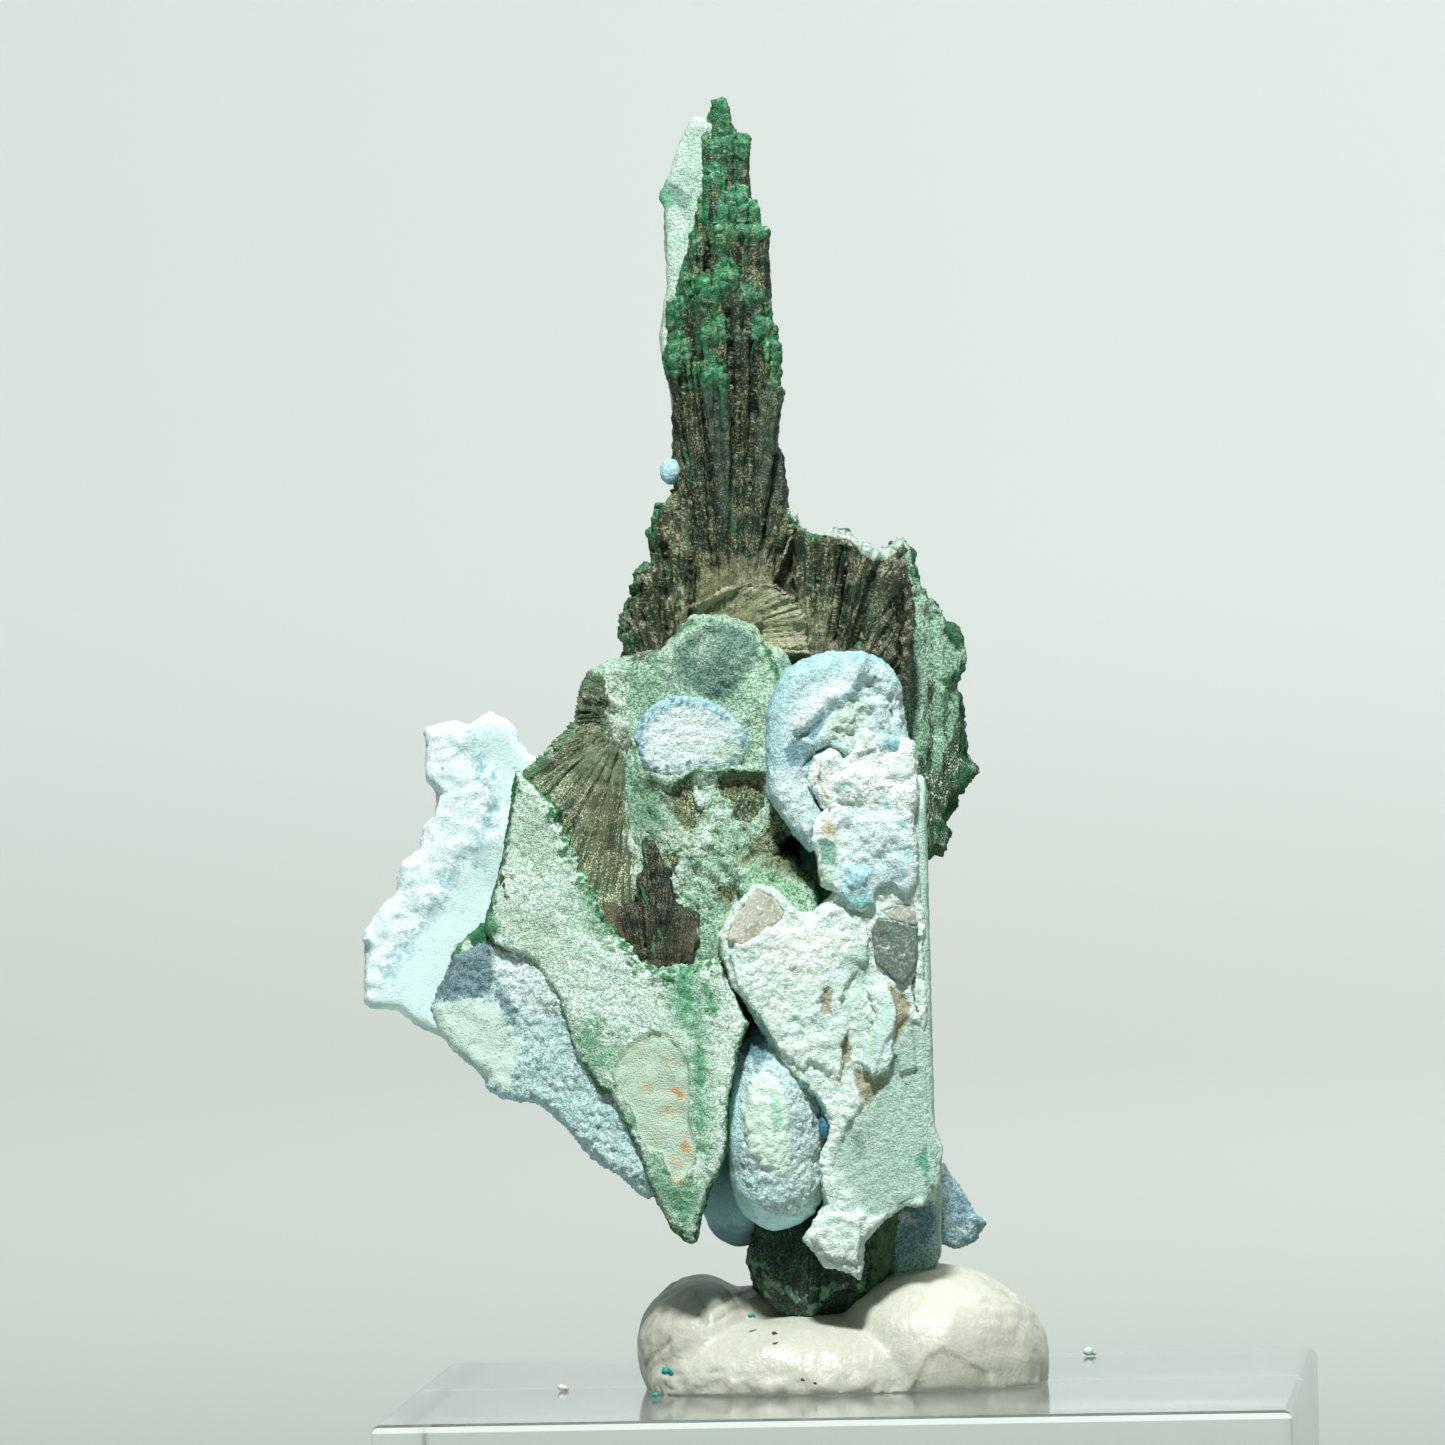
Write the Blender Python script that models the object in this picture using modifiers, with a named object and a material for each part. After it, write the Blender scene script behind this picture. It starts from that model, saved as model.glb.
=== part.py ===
"""Malachite with chrysocolla, held upright by a pad of tack on a clear acrylic block.

The specimen is one solid, as it grew: a spike and a fan of malachite columns, green drusy plates,
chrysocolla knobs and crusts, and the short fibrous stem that it stands on. The tack and the block
are its stand. Forms are modelled in millimetres and brought to metres when they are placed.
"""
import math

import bmesh
import bpy
from mathutils import Matrix, Vector

MM = 0.001

# Acrylic block
BLOCK_SIDE = 50.8
BLOCK_HEIGHT = 25.4
BLOCK_EDGE = 0.45

# The gap kept between pieces that touch
GAP = 0.3

# The specimen's own frame: x across, y away from the viewer, z up, from the middle of the block's
# top. It is turned and leaned a little against the block.
TURN = math.radians(3.85)
LEAN_BACK = math.radians(-1.40)
LEAN_SIDE = math.radians(1.24)

# Outlines are as seen from this far in front, so a form grows with its depth about the line of sight.
SIGHT_DISTANCE = 850.0
SIGHT_X = -7.7
SIGHT_Z = 37.5

# Fused solids: voxel size, relief of the rough surface and number of triangles
SPECIMEN_VOXEL = 0.32
SPECIMEN_RELIEF = 0.36
SPECIMEN_TRIANGLES = 8200
TACK_VOXEL = 0.35
TACK_RELIEF = 0.25
TACK_TRIANGLES = 1100
SOCKET_MARGIN = 0.6
SOCKET_TRIANGLES = 400

# Chamfer round the edges of every plate
SLAB_EDGE = 0.4

# Spike: the columns that end in ledges (x, y, z of the tip, radius), its shaft and its pale flank
SPIKE_ROOT = (-7.1, 1.4, 38.0)
SPIKE_COLUMNS = [
    (-7.80, 2.5, 72.9, 0.55),
    (-8.15, 2.3, 72.4, 0.75),
    (-7.60, 2.5, 71.6, 0.85),
    (-7.30, 1.7, 70.8, 1.00),
    (-6.40, 2.3, 71.0, 0.42),
    (-8.70, 2.7, 71.2, 0.70),
    (-8.20, 1.2, 68.8, 0.55),
    (-6.85, 0.9, 67.5, 0.90),
    (-5.95, 1.2, 67.1, 0.50),
    (-8.75, 1.5, 67.0, 0.55),
    (-6.80, 0.3, 65.9, 0.50),
    (-5.55, 0.8, 65.8, 0.52),
    (-7.60, 0.0, 65.6, 0.58),
    (-9.20, 1.2, 65.2, 0.55),
    (-7.20, -0.6, 63.2, 0.62),
    (-8.60, -0.4, 62.6, 0.98),
    (-9.75, 0.5, 63.2, 0.55),
    (-5.75, -0.2, 62.2, 0.62),
    (-7.40, -1.2, 61.0, 0.42),
    (-10.05, 0.7, 61.3, 0.60),
    (-7.80, -1.5, 60.0, 0.68),
    (-4.95, 0.5, 59.9, 0.55),
    (-6.30, -1.2, 59.6, 0.72),
    (-10.25, -0.1, 59.2, 0.70),
    (-9.20, -1.0, 59.0, 0.60),
    (-8.40, -1.8, 57.9, 0.46),
    (-5.30, -0.9, 57.6, 0.75),
]
SPIKE_SHAFT = [
    (-10.0, 50.0), (-10.3, 56.0), (-10.6, 59.0), (-9.9, 63.0), (-9.3, 66.0), (-8.9, 70.0),
    (-7.0, 70.0), (-6.2, 67.0), (-5.4, 64.0), (-5.2, 60.0), (-4.7, 57.0), (-4.9, 53.6),
    (-4.3, 52.4), (-4.1, 50.0), (-5.0, 45.0), (-9.5, 45.0),
]
SPIKE_BACK = [
    (-9.2, 71.8), (-10.5, 68.6), (-11.1, 67.4), (-10.8, 65.8), (-10.7, 62.8), (-11.1, 60.0),
    (-11.0, 58.6), (-10.3, 55.0), (-9.8, 47.0), (-6.0, 47.0), (-5.6, 58.0), (-6.8, 66.0), (-8.0, 71.5),
]

# Upper fan: its outline and the point that its fibres spread from
FAN_ROOT = (-6.4, 2.6, 42.0)
FAN_OUTLINE = [
    (-13.0, 41.0), (-13.4, 43.7), (-12.6, 44.6), (-12.5, 46.3), (-11.8, 46.5), (-11.4, 49.9),
    (-10.4, 50.6), (-9.9, 52.0), (-4.1, 51.5), (-3.5, 49.1), (-2.6, 48.4), (-1.3, 48.5),
    (0.2, 48.1), (1.1, 47.5), (2.7, 48.0), (3.2, 45.5), (3.2, 41.0), (1.5, 36.0), (-11.0, 36.0),
]
FAN_TIPS = [
    (-12.9, 0.0, 43.4), (-12.3, -0.5, 45.4), (-11.6, -0.4, 47.0), (-11.0, -0.6, 49.2),
    (-3.8, -0.8, 49.0), (-2.4, -0.8, 48.0), (-1.0, -0.9, 48.1), (0.3, -0.8, 47.6),
    (1.6, -0.6, 47.0), (2.2, -0.3, 45.2), (2.3, 0.0, 43.2),
]

# Right lobe, behind the fan
LOBE_OUTLINE = [
    (2.4, 47.8), (3.3, 45.8), (4.3, 44.3), (5.5, 42.6), (6.1, 41.2), (5.5, 39.6), (5.9, 38.0),
    (6.0, 36.0), (6.45, 35.0), (5.1, 32.9), (5.1, 31.2), (4.0, 30.0), (1.0, 30.0), (-1.0, 46.0),
]
LOBE_LUMPS = [
    ((4.1, 6.0, 41.6), (2.0, 2.6, 2.2)), ((3.4, 8.6, 39.0), (2.3, 2.6, 3.4)),
    ((4.5, 6.2, 37.6), (1.5, 2.0, 2.0)), ((4.7, 7.8, 35.0), (1.7, 2.2, 1.7)),
    ((3.8, 6.6, 32.2), (1.5, 2.2, 2.2)), ((2.6, 7.0, 44.2), (1.8, 2.4, 2.6)),
    ((1.2, 9.0, 41.6), (2.4, 1.8, 2.8)), ((1.4, 8.8, 35.6), (2.2, 2.2, 2.6)),
]

# Green middle: drusy mass, its knob, the oval of chrysocolla and the broken middle
MIDDLE_OUTLINE = [
    (-15.1, 40.3), (-13.0, 41.3), (-11.0, 41.8), (-9.8, 43.2), (-8.3, 43.7), (-6.3, 43.1),
    (-4.9, 41.9), (-3.9, 41.0), (-3.8, 36.0), (-3.0, 31.0), (-2.0, 27.0), (-7.0, 23.0),
    (-11.0, 24.0), (-13.2, 29.0), (-13.4, 35.0), (-15.9, 38.2),
]
KNOB_CENTRE = (-7.7, -2.7, 41.0)
KNOB_RADII = (2.7, 2.2, 2.5)
OVAL_CENTRE = (-9.4, -3.2, 36.8)
OVAL_RADII = (3.2, 2.0, 2.4)
BROKEN_BLADES = [
    ((-8.4, -2.6, 28.6), (-10.6, -4.2, 34.2), 0.75), ((-7.4, -2.6, 28.4), (-8.6, -4.4, 34.6), 0.60),
    ((-6.6, -2.6, 28.6), (-6.6, -4.6, 34.8), 0.70), ((-6.2, -2.6, 28.2), (-4.8, -4.2, 34.0), 0.60),
    ((-6.8, -3.0, 29.0), (-3.9, -4.6, 32.2), 0.60), ((-7.6, -3.2, 27.8), (-9.4, -5.0, 31.6), 0.70),
    ((-7.0, -3.4, 26.4), (-4.2, -5.2, 28.8), 0.80), ((-8.0, -3.6, 25.6), (-10.0, -5.0, 28.0), 0.70),
]

# Left fan of fibres, set back behind the plate's edge, and the dark blades below it
LEFT_FAN_ROOT = (-11.2, -1.8, 24.6)
LEFT_FAN_OUTLINE = [
    (-19.2, 34.6), (-16.6, 36.9), (-15.9, 38.2), (-15.1, 40.3), (-12.5, 41.0), (-12.0, 30.0),
    (-10.0, 24.0), (-15.0, 24.0), (-18.0, 29.0),
]
LEFT_FAN_TIPS = [
    (-18.9, -2.4, 34.5), (-17.8, -2.8, 35.4), (-16.7, -3.0, 36.3), (-15.6, -3.2, 37.0),
    (-14.6, -3.3, 37.2), (-13.8, -3.5, 36.4),
]
DARK_BLADES = [
    ((-10.4, -4.4, 24.6), (-12.2, -5.8, 31.2), 0.55), ((-10.0, -4.4, 24.4), (-11.4, -5.6, 30.4), 0.60),
    ((-9.6, -4.4, 24.2), (-10.6, -5.4, 29.2), 0.60), ((-11.2, -4.4, 23.8), (-13.0, -5.4, 28.0), 0.75),
    ((-12.0, -4.2, 23.8), (-14.4, -5.2, 27.2), 0.70),
]

# Green plate in front on the left
PLATE_OUTLINE = [
    (-19.2, 34.7), (-19.6, 32.0), (-20.1, 28.5), (-21.0, 26.0), (-20.9, 25.2), (-18.2, 24.2),
    (-16.8, 21.9), (-16.0, 19.0), (-13.7, 16.2), (-12.3, 13.5), (-11.4, 10.6), (-9.7, 8.3),
    (-9.2, 8.1), (-8.9, 9.8), (-7.9, 12.0), (-7.5, 15.0), (-6.8, 18.6), (-6.2, 20.5),
    (-7.7, 24.0), (-9.5, 23.6), (-12.5, 24.0), (-14.3, 26.2), (-15.4, 28.6), (-16.6, 31.2),
    (-17.4, 33.0), (-18.4, 34.0),
]

# Wing of chrysocolla at the far left, behind, with the lumps along its rim
WING_OUTLINE = [
    (-24.0, 37.4), (-22.6, 37.7), (-20.8, 38.1), (-19.3, 36.8), (-16.0, 35.0), (-11.0, 34.0),
    (-11.0, 20.0), (-19.0, 18.6), (-23.5, 19.8), (-25.9, 21.3), (-27.8, 21.7), (-28.0, 25.2),
    (-26.1, 28.0), (-25.4, 29.8), (-24.2, 31.8), (-23.5, 33.7), (-24.4, 34.8),
]
WING_LUMPS = [
    ((-23.1, 7.2, 36.0), (1.35, 1.9, 1.55)), ((-20.7, 7.6, 36.4), (1.6, 2.2, 1.6)),
    ((-22.4, 7.0, 33.4), (1.5, 1.9, 1.7)), ((-23.2, 6.8, 31.0), (1.5, 1.7, 1.7)),
    ((-24.5, 6.6, 28.6), (1.6, 1.8, 1.7)), ((-25.6, 6.5, 26.4), (1.6, 1.7, 1.5)),
    ((-26.6, 6.5, 24.6), (1.4, 1.7, 1.4)), ((-26.9, 6.5, 22.9), (1.0, 1.4, 1.1)),
    ((-20.6, 6.8, 32.0), (1.2, 1.8, 2.2)),
]

# Granular crust at the lower left
CRUST_OUTLINE = [
    (-22.6, 24.4), (-20.7, 25.2), (-17.0, 24.0), (-13.0, 17.0), (-10.0, 12.0), (-11.6, 10.8),
    (-13.5, 12.2), (-15.5, 14.1), (-17.2, 15.6), (-18.6, 16.3), (-20.2, 16.5), (-21.0, 17.6),
    (-22.4, 19.0), (-24.0, 20.3), (-24.0, 21.6),
]

# Blue chrysocolla knob in front
BLUE_KNOB_LUMPS = [
    ((-1.1, -4.3, 37.3), (3.7, 3.9, 4.2)), ((-2.9, -4.6, 34.0), (2.2, 2.9, 3.7)),
    ((1.1, -4.6, 38.4), (1.5, 3.6, 2.6)),
]

# Mint slab, the lumpy crust above, and the flat plate along its right side
UPPER_CRUST_OUTLINE = [
    (-2.6, 35.2), (-1.8, 36.3), (-0.8, 36.0), (0.4, 37.0), (2.7, 36.9), (3.3, 35.4), (3.3, 33.0),
    (3.4, 27.0), (-2.2, 27.6), (-2.2, 30.2), (-2.6, 31.6), (-1.6, 32.8), (-2.4, 34.2),
]
SLAB_OUTLINE = [
    (-5.8, 28.4), (-4.2, 27.6), (-2.6, 26.7), (-1.0, 28.2), (3.5, 29.0), (3.7, 26.0), (3.9, 20.0),
    (4.2, 16.0), (4.8, 13.5), (4.7, 11.6), (3.6, 10.4), (1.9, 9.9), (0.6, 8.9), (0.1, 6.3),
    (-1.4, 6.7), (-2.9, 8.3), (-1.9, 9.7), (-2.1, 13.0), (-1.6, 14.8), (-2.4, 16.6), (-4.2, 18.5),
    (-5.7, 20.8), (-7.2, 22.8), (-7.8, 25.4),
]
SIDE_PLATE_OUTLINE = [
    (-7.6, 35.0), (-4.0, 36.6), (2.0, 35.0), (6.6, 31.5), (7.4, 24.0), (6.0, 17.0), (7.0, 12.5),
    (3.0, 9.5), (-4.0, 10.5), (-7.0, 14.0),
]
SIDE_PLATE_X = 3.3
SIDE_PLATE_THICKNESS = 1.1
UPPER_CRUST_LUMPS = [
    ((0.2, -8.0, 34.7), (2.3, 1.4, 1.7)), ((2.0, -7.8, 35.8), (1.2, 1.2, 1.0)),
    ((1.3, -8.1, 31.4), (1.7, 1.3, 2.2)), ((0.0, -8.2, 28.8), (1.2, 1.2, 1.3)),
    ((2.2, -7.9, 29.4), (1.1, 1.1, 1.2)),
]
QUARTZ_GRAINS = [
    ((-6.4, -7.2, 26.6), (1.3, 1.6, 1.5)), ((2.2, -7.4, 25.0), (1.5, 1.5, 1.9)),
    ((0.9, -6.6, 17.0), (1.0, 1.2, 1.0)),
]

# Blue lobes at the bottom, and the piece at the lower right
BOTTOM_LOBES = [
    ((-4.6, -3.6, 14.9), (2.9, 3.2, 6.0)), ((-4.2, -3.4, 11.8), (2.4, 3.0, 3.0)),
    ((-7.0, 0.6, 11.0), (1.9, 2.6, 3.1)), ((-6.6, 1.8, 14.0), (3.2, 3.0, 4.6)),
]
RIGHT_FOOT_OUTLINE = [
    (1.9, 12.0), (4.8, 12.6), (5.8, 11.2), (6.4, 10.0), (7.15, 9.2), (6.2, 8.0), (5.4, 7.9),
    (4.7, 8.3), (4.4, 7.7), (2.2, 7.8),
]

# Core that carries the forms, and the lumps and sprays of the back
CORE_LUMPS = [
    ((-9.0, 1.6, 20.0), (7.6, 4.8, 8.6)), ((-9.6, 1.8, 31.5), (7.6, 5.4, 9.0)),
    ((-1.2, 0.4, 22.0), (4.4, 5.6, 12.0)), ((-2.4, 2.2, 35.5), (5.4, 5.0, 8.0)),
    ((-5.6, 2.6, 23.5), (5.0, 5.0, 8.0)),
]
BACK_LUMPS = [
    ((-12.6, 5.0, 21.5), (4.2, 3.2, 3.8)), ((-6.0, 5.0, 16.6), (3.8, 3.2, 4.2)),
    ((-10.6, 6.4, 25.6), (3.0, 2.6, 2.6)), ((-1.6, 5.4, 21.4), (3.8, 3.4, 4.6)),
    ((-14.6, 4.6, 29.0), (3.6, 2.8, 4.6)), ((-1.0, 5.4, 30.0), (3.8, 3.4, 4.2)),
    ((-6.2, 7.2, 28.6), (2.6, 2.2, 2.4)), ((-3.4, 7.4, 25.4), (2.2, 2.0, 2.4)),
    ((-7.0, 7.0, 23.4), (2.2, 2.0, 2.2)), ((-9.0, 6.6, 19.4), (1.9, 1.9, 2.1)),
    ((-6.6, 4.4, 46.0), (3.0, 1.8, 4.0)), ((-0.2, 4.6, 43.0), (3.0, 2.6, 3.4)),
    ((-4.0, 6.4, 13.0), (1.9, 1.9, 2.2)),
]
BACK_PLATE_OUTLINE = [
    (-4.6, 27.6), (1.0, 29.4), (2.9, 26.0), (2.4, 20.0), (3.0, 15.0), (0.6, 11.6), (-2.6, 12.6),
    (-3.0, 18.0), (-5.2, 22.0),
]
BACK_SPRAY_ROOT = (-7.0, 3.4, 33.0)
BACK_SPRAY_TIPS = [
    (-14.0, 6.4, 37.4), (-12.6, 7.4, 40.2), (-10.6, 7.8, 42.2), (-8.2, 8.0, 43.6),
    (-5.8, 8.0, 43.8), (-3.4, 7.8, 42.4), (-1.6, 7.6, 39.9), (-14.4, 7.0, 34.0), (-0.8, 7.8, 36.6),
]
BACK_FAN_ROOT = (-11.4, 4.6, 27.0)
BACK_FAN_TIPS = [
    (-16.9, 7.6, 24.4), (-16.4, 8.2, 22.0), (-15.2, 8.6, 19.8), (-13.4, 8.8, 18.2), (-11.2, 8.6, 17.6),
]

# Stem: a tapered bundle of fibres that ends in the tack
STEM_FOOT = (-2.2, 0.0, 2.7)
STEM_TOP = (-1.9, 0.0, 12.5)
STEM_FOOT_RADIUS = 2.3
STEM_TOP_RADIUS = 4.3
STEM_DEPTH_SHARE = 0.82
STEM_STRANDS = [
    ((-5.2, -0.6, 4.9), (-5.2, -0.6, 10.5), 0.55), ((-5.5, 0.4, 6.4), (-5.0, 0.4, 11.0), 0.55),
    ((1.0, -0.8, 5.6), (1.4, -0.8, 10.5), 0.60), ((-3.9, -2.5, 4.4), (-4.2, -2.7, 10.0), 0.60),
    ((-2.2, -2.9, 4.2), (-2.4, -3.0, 10.0), 0.60), ((-0.6, -2.6, 4.5), (-0.4, -2.6, 9.0), 0.65),
]

# Pad of tack: a long saddle with a rounded end on each side
TACK_LUMPS = [
    ((4.6, 0.0, 1.4), (6.3, 8.0, 5.55)), ((-8.9, 0.2, 1.7), (3.5, 7.4, 4.75)),
    ((-2.0, -0.4, 0.4), (9.5, 7.8, 4.1)), ((-5.0, 0.4, 1.2), (4.4, 7.0, 4.2)),
]
TACK_NOTCH = [(3.0, -2.0), (4.8, 2.0), (6.2, 1.3), (7.4, 0.7), (8.4, -2.0)]
TACK_NOTCH_FRONT = -14.0
TACK_NOTCH_BACK = -6.9


def clear_scene():
    """Start from an empty scene."""
    for item in list(bpy.data.objects):
        bpy.data.objects.remove(item)


def lump(centre, radii):
    """A rounded, faceted lump."""
    form = bmesh.new()
    bmesh.ops.create_icosphere(form, subdivisions=3, radius=1.0)
    form.transform(Matrix.Translation(centre) @ Matrix.Diagonal((*radii, 1.0)))
    return form


def column(foot, tip, foot_radius, tip_radius, sides=6):
    """A tapered crystal column from its foot to its flat end."""
    along = Vector(tip) - Vector(foot)
    form = bmesh.new()
    bmesh.ops.create_cone(
        form, cap_ends=True, segments=sides, radius1=foot_radius, radius2=tip_radius, depth=along.length
    )
    turn = along.to_track_quat("Z", "Y").to_matrix().to_4x4()
    form.transform(Matrix.Translation((Vector(foot) + Vector(tip)) / 2) @ turn)
    return form


def slab(outline, front, thickness, lean=(0.0, 0.0), about=(0.0, 0.0)):
    """A plate across the specimen. Its front is at y = front, and leans by so much per mm across and up."""
    curve = bpy.data.curves.new("outline", "CURVE")
    curve.dimensions = "2D"
    curve.fill_mode = "BOTH"
    curve.extrude = thickness / 2 - SLAB_EDGE
    curve.bevel_depth = SLAB_EDGE
    curve.offset = -SLAB_EDGE
    spline = curve.splines.new("POLY")
    spline.points.add(len(outline) - 1)
    for point, (x, z) in zip(spline.points, outline):
        point.co = (x, z, 0.0, 1.0)
    spline.use_cyclic_u = True
    holder = bpy.data.objects.new("outline", curve)
    bpy.context.scene.collection.objects.link(holder)
    mesh = bpy.data.meshes.new_from_object(holder.evaluated_get(bpy.context.evaluated_depsgraph_get()))
    bpy.data.objects.remove(holder)
    bpy.data.curves.remove(curve)

    form = bmesh.new()
    form.from_mesh(mesh)
    bpy.data.meshes.remove(mesh)
    bmesh.ops.remove_doubles(form, verts=form.verts, dist=0.0001)
    middle = front + thickness / 2
    upright = Matrix.Translation((0.0, middle, 0.0)) @ Matrix.Rotation(math.radians(90), 4, "X")
    form.transform(upright)
    shear = Matrix.Identity(4)
    shear[1][0], shear[1][2] = lean
    shear[1][3] = -lean[0] * about[0] - lean[1] * about[1]
    form.transform(shear)
    return form


def side_slab(outline, x, thickness):
    """A plate that runs away from the viewer: its outline is in y and z, and x is its middle."""
    form = slab(outline, -thickness / 2, thickness)
    form.transform(Matrix.Translation((x, 0.0, 0.0)) @ Matrix.Rotation(math.radians(90), 4, "Z"))
    return form


def fan(root, tips, tip_radius, foot_share=0.25):
    """Columns that spread from one root, each starting a share of the way out."""
    forms = []
    for tip in tips:
        foot = Vector(root).lerp(Vector(tip), foot_share)
        forms.append(column(foot, tip, tip_radius * 0.75, tip_radius))
    return forms


def joined(forms):
    """One mesh that holds all the forms."""
    whole = bmesh.new()
    for form in forms:
        piece = bpy.data.meshes.new("form")
        form.to_mesh(piece)
        form.free()
        whole.from_mesh(piece)
        bpy.data.meshes.remove(piece)
    mesh = bpy.data.meshes.new("forms")
    bmesh.ops.triangulate(whole, faces=whole.faces)
    whole.to_mesh(mesh)
    whole.free()
    return mesh


def evaluated(mesh, set_up):
    """The mesh after the modifiers that set_up adds."""
    holder = bpy.data.objects.new("holder", mesh)
    bpy.context.scene.collection.objects.link(holder)
    set_up(holder)
    result = bpy.data.meshes.new_from_object(holder.evaluated_get(bpy.context.evaluated_depsgraph_get()))
    bpy.data.objects.remove(holder)
    bpy.data.meshes.remove(mesh)
    return result


def largest_shell(mesh):
    """Only the outer shell: the pockets that forms enclose between them are filled."""
    whole = bmesh.new()
    whole.from_mesh(mesh)
    unseen = set(whole.verts)
    shells = []
    while unseen:
        start = unseen.pop()
        shell = [start]
        for vertex in shell:
            for edge in vertex.link_edges:
                other = edge.other_vert(vertex)
                if other in unseen:
                    unseen.remove(other)
                    shell.append(other)
        shells.append(shell)
    shells.sort(key=len)
    loose = [vertex for shell in shells[:-1] for vertex in shell]
    bmesh.ops.delete(whole, geom=loose, context="VERTS")
    whole.to_mesh(mesh)
    whole.free()
    return mesh


def fused(forms, voxel, relief, triangles):
    """One closed rough solid from overlapping forms, brought down to a number of triangles."""
    clouds = bpy.data.textures.new("relief", "CLOUDS")
    clouds.noise_scale = 1.6
    clouds.noise_depth = 2

    def fuse(holder):
        remesh = holder.modifiers.new("fuse", "REMESH")
        remesh.mode = "VOXEL"
        remesh.voxel_size = voxel
        rough = holder.modifiers.new("relief", "DISPLACE")
        rough.texture = clouds
        rough.texture_coords = "LOCAL"
        rough.strength = relief
        rough.mid_level = 0.5

    mesh = largest_shell(evaluated(joined(forms), fuse))
    count = sum(len(face.vertices) - 2 for face in mesh.polygons)

    def thin_out(holder):
        decimate = holder.modifiers.new("facets", "DECIMATE")
        decimate.decimate_type = "COLLAPSE"
        decimate.ratio = min(1.0, triangles / count)
        decimate.use_collapse_triangulate = True

    return evaluated(mesh, thin_out)


def place(mesh):
    """Bring a mesh from the specimen's frame, in mm, to the model's frame, in metres."""
    for vertex in mesh.vertices:
        x, y, z = vertex.co
        spread = 1 + y / SIGHT_DISTANCE
        vertex.co = (SIGHT_X + (x - SIGHT_X) * spread, y, SIGHT_Z + (z - SIGHT_Z) * spread)
    turn = Matrix.Rotation(TURN, 4, "Z") @ Matrix.Rotation(LEAN_BACK, 4, "X") @ Matrix.Rotation(LEAN_SIDE, 4, "Y")
    mesh.transform(Matrix.Scale(MM, 4) @ Matrix.Translation((0.0, 0.0, BLOCK_HEIGHT)) @ turn)
    return mesh


def spike_forms():
    """The tall spike: a shaft, its pale flank behind, and columns that end in ledges."""
    forms = [
        slab(SPIKE_SHAFT, 0.2, 3.4, lean=(0.0, 0.06), about=(-7.0, 50.0)),
        slab(SPIKE_BACK, 1.6, 3.6, lean=(-0.5, 0.0), about=(-9.0, 60.0)),
    ]
    for x, y, z, radius in SPIKE_COLUMNS:
        foot = Vector(SPIKE_ROOT).lerp(Vector((x, y, z)), 0.25)
        forms.append(column(foot, (x, y, z), radius * 0.7, radius))
    return forms


def fan_forms():
    """The upper fan, with the columns of its front, and the lobe behind it on the right."""
    forms = [slab(FAN_OUTLINE, 0.0, 4.0), slab(LOBE_OUTLINE, 4.6, 3.6, lean=(0.3, 0.0), about=(3.0, 38.0))]
    forms += fan(FAN_ROOT, FAN_TIPS, 0.8)
    forms += [lump(centre, radii) for centre, radii in LOBE_LUMPS]
    return forms


def middle_forms():
    """The drusy green middle with its knob, oval and broken blades."""
    forms = [slab(MIDDLE_OUTLINE, -3.4, 4.6), lump(KNOB_CENTRE, KNOB_RADII), lump(OVAL_CENTRE, OVAL_RADII)]
    forms += [column(foot, tip, radius, radius * 0.8) for foot, tip, radius in BROKEN_BLADES]
    return forms


def left_forms():
    """The left fan, the dark blades, the green plate in front of them and the crust below."""
    forms = [
        slab(LEFT_FAN_OUTLINE, -2.4, 4.2, lean=(-0.12, 0.0), about=(-15.0, 32.0)),
        slab(PLATE_OUTLINE, -5.6, 4.2, lean=(-0.28, 0.06), about=(-13.0, 25.0)),
        slab(CRUST_OUTLINE, -2.4, 5.6, lean=(-0.25, 0.0), about=(-17.0, 18.0)),
    ]
    forms += fan(LEFT_FAN_ROOT, LEFT_FAN_TIPS, 0.75)
    forms += [column(foot, tip, radius, radius * 0.7) for foot, tip, radius in DARK_BLADES]
    return forms


def wing_forms():
    """The wing of chrysocolla, thin and flat, with a lumpy rim."""
    forms = [slab(WING_OUTLINE, 6.2, 2.6, lean=(-0.08, 0.0), about=(-22.0, 28.0))]
    forms += [lump(centre, radii) for centre, radii in WING_LUMPS]
    return forms


def right_forms():
    """The blue knob, the mint slab with its crust, quartz grains and side plate."""
    forms = [
        slab(UPPER_CRUST_OUTLINE, -8.0, 4.6),
        slab(SLAB_OUTLINE, -7.8, 5.0, lean=(0.0, -0.03), about=(0.0, 22.0)),
        side_slab(SIDE_PLATE_OUTLINE, SIDE_PLATE_X, SIDE_PLATE_THICKNESS),
    ]
    lumps = BLUE_KNOB_LUMPS + UPPER_CRUST_LUMPS + QUARTZ_GRAINS
    forms += [lump(centre, radii) for centre, radii in lumps]
    return forms


def bottom_forms():
    """The lobes at the bottom, the piece at the lower right and the stem."""
    forms = [slab(RIGHT_FOOT_OUTLINE, 2.4, 4.6, lean=(0.3, 0.0), about=(4.0, 10.0))]
    forms += [lump(centre, radii) for centre, radii in BOTTOM_LOBES]
    return forms + stem_forms(0.0)


def stem_forms(margin):
    """The stem's tapered body and its strands, made larger all round by a margin."""
    drop = Vector((0.0, 0.0, margin))
    foot = Vector(STEM_FOOT) - drop
    body = column(foot, STEM_TOP, STEM_FOOT_RADIUS + margin, STEM_TOP_RADIUS + margin, sides=14)
    body.transform(Matrix.Diagonal((1.0, STEM_DEPTH_SHARE, 1.0, 1.0)))
    strands = [
        column(Vector(strand_foot) - drop, tip, radius + margin, radius + margin)
        for strand_foot, tip, radius in STEM_STRANDS
    ]
    return [body] + strands


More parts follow.
